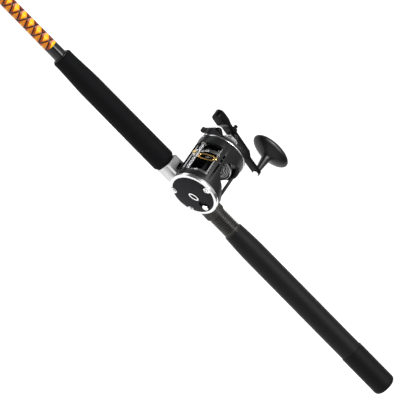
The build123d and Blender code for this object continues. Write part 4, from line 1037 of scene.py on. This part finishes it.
class ROD_OT_guides(Maker):
    """Line guides, their ceramic rings and the thread that binds their feet"""

    bl_idname = "rod.guides"
    bl_label = "Guides and bindings"

    def ring(self, x, z, inner, wall, width, round_off):
        """Ring round the line's path, its section a rounded rectangle."""
        profile = []
        corners = [(x + width / 2, inner + wall, 0), (x - width / 2, inner + wall, 90),
                   (x - width / 2, inner, 180), (x + width / 2, inner, 270)]
        for px, radius, start in corners:
            cx = px - round_off if px > x else px + round_off
            cr = radius - round_off if radius > inner else radius + round_off
            profile += arc((cx, cr), round_off, start, start + 90, 3)
        return lathe("ring", profile, "x", (0, 0, z * MM), 48, hollow=True, sharp=60.0)

    def execute(self, context):
        sizes = context.scene.rod_sizes
        recipe = thread_turns()
        pitch = sizes.winding_pitch
        inserts = []
        threads = []
        for number_of_guide, (x, inner) in enumerate(GUIDES, start=1):
            outer = inner + INSERT_WALL + RING_WALL
            z = blank_radius(x) + 3.5 + 1.75 * inner
            spread = 1.5 * inner + 9.0
            pieces = [self.ring(x, z, inner + INSERT_WALL, RING_WALL, 2.6, 0.55)]
            inserts.append(self.ring(x, z, inner, INSERT_WALL + 0.05, 3.4, 0.5))
            for way in (-1, 1):
                toe = x + way * spread
                toe_z = blank_radius(toe) + 0.7
                for side in (-1, 1):
                    points = [(toe + way * 6.0, side * 0.9, toe_z - 0.15),
                              (toe + way * 1.0, side * 0.95, toe_z + 0.05),
                              (toe - way * 1.5, side * 1.3, toe_z + 1.6),
                              ((toe + x) / 2 - way, side * (outer * 0.42 + 0.7),
                               toe_z + (z - outer * 0.34 - toe_z) * 0.52),
                              (x + way * 0.7, side * (outer - RING_WALL / 2) * 0.95, z - outer * 0.30)]
                    path = [Vector(p) * MM for p in smoothed(points, 5)]
                    pieces.append(close_up(loft(tube_rings(path, 1.05 * MM, 12)), "leg", 60.0))
                pad = []
                for i in range(9):
                    share = i / 8
                    place = toe - way * 1.0 + way * 16.5 * share
                    half = 1.9 * (1 - 0.62 * share * share)
                    thick = 1.15 * (1 - 0.72 * share)
                    base = blank_radius(place) + 0.03
                    pad.append(circle(Vector((place, 0, base + thick / 2)) * MM,
                                      Vector((0, half * MM, 0)), Vector((0, 0, thick / 2 * MM)), 14))
                pieces.append(close_up(loft(pad), "foot", 60.0))
                near = toe + way * 1.5
                low, high = min(near, near + way * 20.0), max(near, near + way * 20.0)
                turns = int((high - low) * MM / pitch)
                threads.append(recipe.build("thread", {
                    "Start": ((low + 0.25) * MM, 0.0, 0.0), "Pitch": pitch, "Turns": turns,
                    "First Radius": (blank_radius(low) + 0.25) * MM,
                    "Last Radius": (blank_radius(high) + 0.25) * MM,
                    "Rise": 1.0 * MM, "Thread": pitch * 0.52, "Material": palette["binding"]}))
            put(f"guide_{number_of_guide}_frame", joined("guide", pieces, 60.0), "root", palette["guide"],
                (f"guide_{number_of_guide}",))
        tip_x, tip_z, tip_inner = 1677.0, 8.6, 4.0
        inserts.append(self.ring(tip_x, tip_z, tip_inner, INSERT_WALL + 0.05, 3.4, 0.5))
        for name, meshes, finish, node in (("ceramic_rings", inserts, "ceramic", "ring_inserts"),
                                           ("guide_threads", threads, "binding", "guide_bindings")):
            put(name, joined(name, meshes, 60.0), "root", palette[finish], (node,))
        dress(guide="tip_top")
        return {"FINISHED"}


# ------------------------------------------------------------------ reel
class ROD_OT_reel_body(Maker):
    """Frame, side plates, rings, foot and the click button"""

    bl_idname = "rod.reel_body"
    bl_label = "Reel body"

    def execute(self, context):
        rounded = [
            ("frame", "frame_moulding", 0.35, "reel_frame"), ("left_ring", "left_rim", 0.25, "ring"),
            ("right_ring", "right_rim", 0.2, "ring"), ("right_plate", "right_cover", 0.4, "plate"),
            ("reel_foot", "foot_casting", 0.3, "foot"),
        ]
        for node, name, width, finish in rounded:
            put(name, eased(nodes[node], name, width * MM), body_of_node[node], palette[finish], (node,))
        dress(plate="left_plate", steel="badge clicker foot_screws", shaft="bridge spool_bearings")
        return {"FINISHED"}


class ROD_OT_spool(Maker):
    """Spool, its shaft and the click wheel"""

    bl_idname = "rod.spool"
    bl_label = "Spool"

    def execute(self, context):
        dress(spool="spool", shaft="spool_shaft", brass="click_wheel")
        return {"FINISHED"}


class ROD_OT_level_wind(Maker):
    """Worm, rods, carriage and the line eye"""

    bl_idname = "rod.level_wind"
    bl_label = "Level wind"

    def execute(self, context):
        lead = context.scene.reel_sizes.worm_lead / MM
        top, bottom = 26.0, -22.0

        def grooves(place, radius, angle):
            if radius < 2.25 or not bottom < place < top:
                return radius
            fade = ramp(place, bottom, bottom + 2) * (1 - ramp(place, top - 2, top))
            first = 1 - wave(place / lead - angle / TURN)
            second = 1 - wave(place / lead + angle / TURN)
            return radius - 0.6 * fade * max(ramp(first, 0.72, 0.88), ramp(second, 0.72, 0.88))

        steps = round((top - bottom) / 0.28)
        profile = [(-41.2, 0), (-41.2, 2.1), (-41.0, 2.3)]
        profile += [(y, 2.3) for y in spaced(bottom, top, steps)]
        profile += [(30.8, 2.3), (31.0, 2.1), (31.0, 0)]
        mesh = lathe("worm_grooved", profile, "y", WORM, 44, grooves, sharp=55.0)
        put("worm_grooved", mesh, "worm", palette["shaft"], ("worm_shaft",))

        run = TOP_ROD - WORM
        far = run.length / MM
        out = run.normalized()
        low, high, half = 3.5 + 0.95, far - 1.4 - 0.95, 5.0 - 0.95
        loop = []
        for centre, start in ((high - half, 0.0), (low + half, math.pi)):
            for i in range(13):
                angle = start + math.pi * i / 12
                loop.append((centre + half * math.sin(angle), half * math.cos(angle)))
        centre = WORM + Vector((0, CARRIAGE_Y * MM, 0))
        normal = out.cross(Vector((0, 1, 0)))
        points = [centre + out * a * MM + Vector((0, b * MM, 0)) for a, b in loop]
        rings = []
        for i, point in enumerate(points):
            heading = (points[(i + 1) % len(points)] - points[i - 1]).normalized()
            outer = heading.cross(normal).normalized()
            rings.append(circle(point, outer * 0.95 * MM, normal * 0.95 * MM, 14))
        rings.append(rings[0])
        wire = close_up(loft(rings, capped=False), "eye_wire", 60.0)
        y = CARRIAGE_Y
        profile = [(y - 3.0, 1.1), (y - 3.0, 1.8), (y - 2.6, 2.2), (y + 2.6, 2.2), (y + 3.0, 1.8),
                   (y + 3.0, 1.1)]
        collar = lathe("eye_collar", profile, "y", TOP_ROD, 36, hollow=True)
        put("line_eye_wire", joined("line_eye_wire", [wire, collar], 50.0), "line_guide", palette["gold"],
            ("line_eye",))
        dress(steel="guide_rods line_carriage", brass="wind_pawl",
              acetal="idler_gear worm_gear worm_bushings")
        return {"FINISHED"}


class ROD_OT_drive(Maker):
    """Gears, drag and anti-reverse parts inside the right side"""

    bl_idname = "rod.drive"
    bl_label = "Drive"

    def execute(self, context):
        dress(brass="main_gear pinion", shaft="handle_shaft ratchet reverse_dog", fibre="drag_washers",
              acetal="clutch_yoke", gloss="free_spool_lever")
        return {"FINISHED"}


class ROD_OT_crank(Maker):
    """Crank arm, its nut, the star drag and the tension cap"""

    bl_idname = "rod.crank"
    bl_label = "Crank, star and cap"

    def execute(self, context):
        sizes = context.scene.reel_sizes
        put("crank_arm", eased(nodes["handle_arm"], "crank_arm", 0.55 * MM, segments=3), "handle",
            palette["gloss"], ("handle_arm",))
        put("crank_nut", eased(nodes["handle_nut"], "crank_nut", 0.4 * MM), "handle", palette["black"],
            ("handle_nut",))
        dress(steel="knob_screw")
        put("star_wheel", self.star(sizes), "star", palette["black"], ("star_drag",))

        shell = [(-52.0, 9.5), (-52.0, 10.3), (-52.3, 10.6), (-61.9, 10.6)]
        shell += arc((-61.9, 8.9), 1.7, 90, 180, 6)
        shell += [(-63.6, 4.2), (-63.2, 3.4), (-63.2, 0.0), (-62.0, 0.0), (-62.0, 9.5)]
        body = lathe("cap_shell", shell, "y", SPOOL, 96, hollow=True)
        pin_profile = [(-62.7, 0), (-62.7, 1.5), (-51.9, 1.5), (-51.7, 1.3), (-51.7, 0)]
        pin = lathe("cap_pin", pin_profile, "y", SPOOL, 24)
        half = [(3.4, 0.36), (3.7, 0.25), (3.8, 0)]
        ridges = ridged("cap", half, 8, sizes.cap_ridges, 10.62, (SPOOL.x, -56.6 * MM, SPOOL.z),
                        palette["steel"])
        put("tension_cap_ridged", joined("tension_cap_ridged", [body, pin, ridges]), "tension_cap",
            palette["ring"], ("tension_cap",))
        return {"FINISHED"}

    def star(self, sizes):
        """Star wheel: arms blend into the hub and end in thick round pads."""
        reach = sizes.star_reach / MM
        arms = sizes.star_arms
        tip = reach - 3.8

        def outside(px, pz):
            nearest = math.hypot(px, pz) - 10.2
            for arm in range(arms):
                angle = math.radians(20) + TURN * arm / arms
                ax, az = math.cos(angle), math.sin(angle)
                t = min(tip, max(0.0, px * ax + pz * az))
                gap = math.hypot(px - ax * t, pz - az * t) - (3.1 + 0.7 * ramp(t, 14.0, tip))
                blend = max(0.0, 3.0 - abs(nearest - gap)) / 3.0
                nearest = min(nearest, gap) - blend * blend * 3.0 / 4
            return nearest

        rim = []
        steps = 240
        for i in range(steps):
            angle = TURN * i / steps
            low, high = 4.0, reach + 3.0
            near = high
            while near > low and outside(near * math.cos(angle), near * math.sin(angle)) > 0:
                near -= 0.05
            rim.append(min(near, reach))
        rows = [(0.0, 0.0), (0.45, 0.0), (0.80, 0.02), (0.93, 0.10), (0.98, 0.26), (1.0, 0.5),
                (0.98, 0.74), (0.93, 0.90), (0.80, 0.98), (0.45, 1.0), (0.0, 1.0)]
        rings = []
        for share, drop in rows:
            ring = []
            for i, r in enumerate(rim):
                angle = TURN * i / steps
                radius = 3.3 + (r - 3.3) * share
                thick = 4.2 + 2.8 * ramp(radius, 15.5, 19.0)
                y = -67.0 - thick * drop
                ring.append(CRANK + Vector((radius * math.cos(angle), y, radius * math.sin(angle))) * MM)
            rings.append(ring)
        wheel = close_up(loft(rings, capped=False), "wheel", 45.0)
        hub_profile = [(-61.4, 3.3), (-61.4, 7.3), (-61.8, 7.8), (-62.4, 8.0), (-71.4, 8.0), (-72.0, 7.8),
                       (-72.4, 7.2), (-72.4, 3.3)]
        hub = lathe("hub", hub_profile, "y", CRANK, 72, hollow=True)
        return joined("star_wheel", [wheel, hub], 40.0)


class ROD_OT_knob(Maker):
    """Paddle knob: one skin from the neck to the palm"""

    bl_idname = "rod.knob"
    bl_label = "Knob"

    def execute(self, context):
        rows = [(-87.3, 3.9, 3.9), (-92.0, 4.3, 4.3), (-98.0, 4.9, 4.9), (-104.0, 5.6, 5.5),
                (-108.5, 6.5, 6.2), (-111.4, 8.8, 7.6), (-113.6, 14.0, 9.9), (-116.4, 21.2, 13.4),
                (-119.6, 26.6, 16.4),
                (-122.6, 28.8, 17.8), (-125.2, 28.6, 17.7), (-127.8, 26.0, 15.8), (-130.0, 20.6, 12.2),
                (-131.4, 13.0, 7.6), (-131.95, 5.0, 3.0)]
        skin = smoothed(rows, 4)
        path = [(-114.6, 0.0, 0.0), (-114.6, 2.08, 2.08), (-87.2, 2.08, 2.08), (-87.1, 2.2, 2.2),
                (-87.1, 3.6, 3.6)]
        path += skin + [(-132.0, 0.0, 0.0)]
        rings = [circle(KNOB + Vector((0, y * MM, 0)), Vector((a * MM, 0, 0)), Vector((0, 0, b * MM)), 96)
                 for y, a, b in path]
        mesh = close_up(loft(rings, capped=False), "paddle_knob", 50.0)
        put("paddle_knob", mesh, "knob", palette["soft"], ("knob",))
        return {"FINISHED"}


class ROD_OT_screws(Maker):
    """Cross-slotted screws of the side plates"""

    bl_idname = "rod.screws"
    bl_label = "Plate screws"

    def execute(self, context):
        head = context.scene.reel_sizes.screw_head / MM
        profile = [(-11.0, 0), (-11.0, 1.3), (-10.7, 1.5), (0, 1.5), (0, head), (0.35, head)]
        profile += [(0.35 + 0.9 * math.sin(a), head - 1.3 * (1 - math.cos(a)))
                    for a in (0.5, 1.0, 1.4, math.pi / 2)]
        profile += [(1.25, 0)]
        solid = lathe("screw_solid", profile, "y", (0, 0, 0), 40)
        cross_one = carved("screw_first_slot", solid, block((2.7, 1.5, 0.55), (0, 1.25, 0)))
        screw = linked("screw_part", carved("screw", cross_one, block((0.55, 1.5, 2.7), (0, 1.25, 0))))
        left = [(96.0, 26.2), (-53.0, 28.4), (-124.0, 29.4)]
        right = [(52.0, 30.8), (104.0, 30.8), (154.0, 30.8), (201.0, 30.8)]
        recipe = screw_field()
        meshes = []
        for places, y, flip, seed in ((left, 41.92, 0.0, 4), (right, -41.02, math.pi, 9)):
            plan_mesh = bpy.data.meshes.new("screw_plan")
            plan_mesh.from_pydata(
                [SPOOL + Vector((r * math.cos(math.radians(a)), y, r * math.sin(math.radians(a)))) * MM
                 for a, r in places], [], [])
            plan = linked("screw_plan", plan_mesh)
            meshes.append(recipe.build("screws", {"Plan": plan, "Screw": screw, "Flip": flip, "Seed": seed,
                                                  "Material": palette["steel"]}))
            bpy.data.objects.remove(plan)
        bpy.data.objects.remove(screw)
        put("cross_screws", joined("cross_screws", meshes), "root", palette["steel"], ("plate_screws",))
        return {"FINISHED"}


# ------------------------------------------------------------------ panel and registration
class ROD_PT_panel(bpy.types.Panel):
    """Lists the steps that build the rod and reel"""

    bl_idname = "ROD_PT_panel"
    bl_label = "Boat Rod and Reel"
    bl_space_type = "VIEW_3D"
    bl_region_type = "UI"
    bl_category = "Rod"

    def draw(self, context):
        column = self.layout.column()
        for step in STEPS:
            column.operator(step.bl_idname)
        for group in ("rod_sizes", "reel_sizes", "rod_finishes", "rod_stage"):
            box = self.layout.box()
            settings = getattr(context.scene, group)
            for key in settings.bl_rna.properties.keys():
                if key not in ("name", "rna_type"):
                    box.prop(settings, key)


GROUPS = {"rod_sizes": RodSizes, "reel_sizes": ReelSizes, "rod_finishes": Finishes, "rod_stage": StageSizes}
STEPS = (ROD_OT_stage, ROD_OT_finishes, ROD_OT_grips, ROD_OT_wrap, ROD_OT_seat, ROD_OT_guides,
         ROD_OT_reel_body, ROD_OT_spool, ROD_OT_level_wind, ROD_OT_drive, ROD_OT_crank, ROD_OT_knob,
         ROD_OT_screws)


def register():
    for group in GROUPS.values():
        bpy.utils.register_class(group)
    for step in (*STEPS, ROD_PT_panel):
        bpy.utils.register_class(step)
    for name, group in GROUPS.items():
        setattr(bpy.types.Scene, name, bpy.props.PointerProperty(type=group))


def unregister():
    for name in GROUPS:
        delattr(bpy.types.Scene, name)
    for step in (ROD_PT_panel, *reversed(STEPS)):
        bpy.utils.unregister_class(step)
    for group in GROUPS.values():
        bpy.utils.unregister_class(group)


def main():
    """Builds every piece in order."""
    register()
    for step in STEPS:
        family, name = step.bl_idname.split(".")
        if getattr(getattr(bpy.ops, family), name)() != {"FINISHED"}:
            raise RuntimeError(f"{step.bl_label} did not finish")


if __name__ == "__main__":
    main()
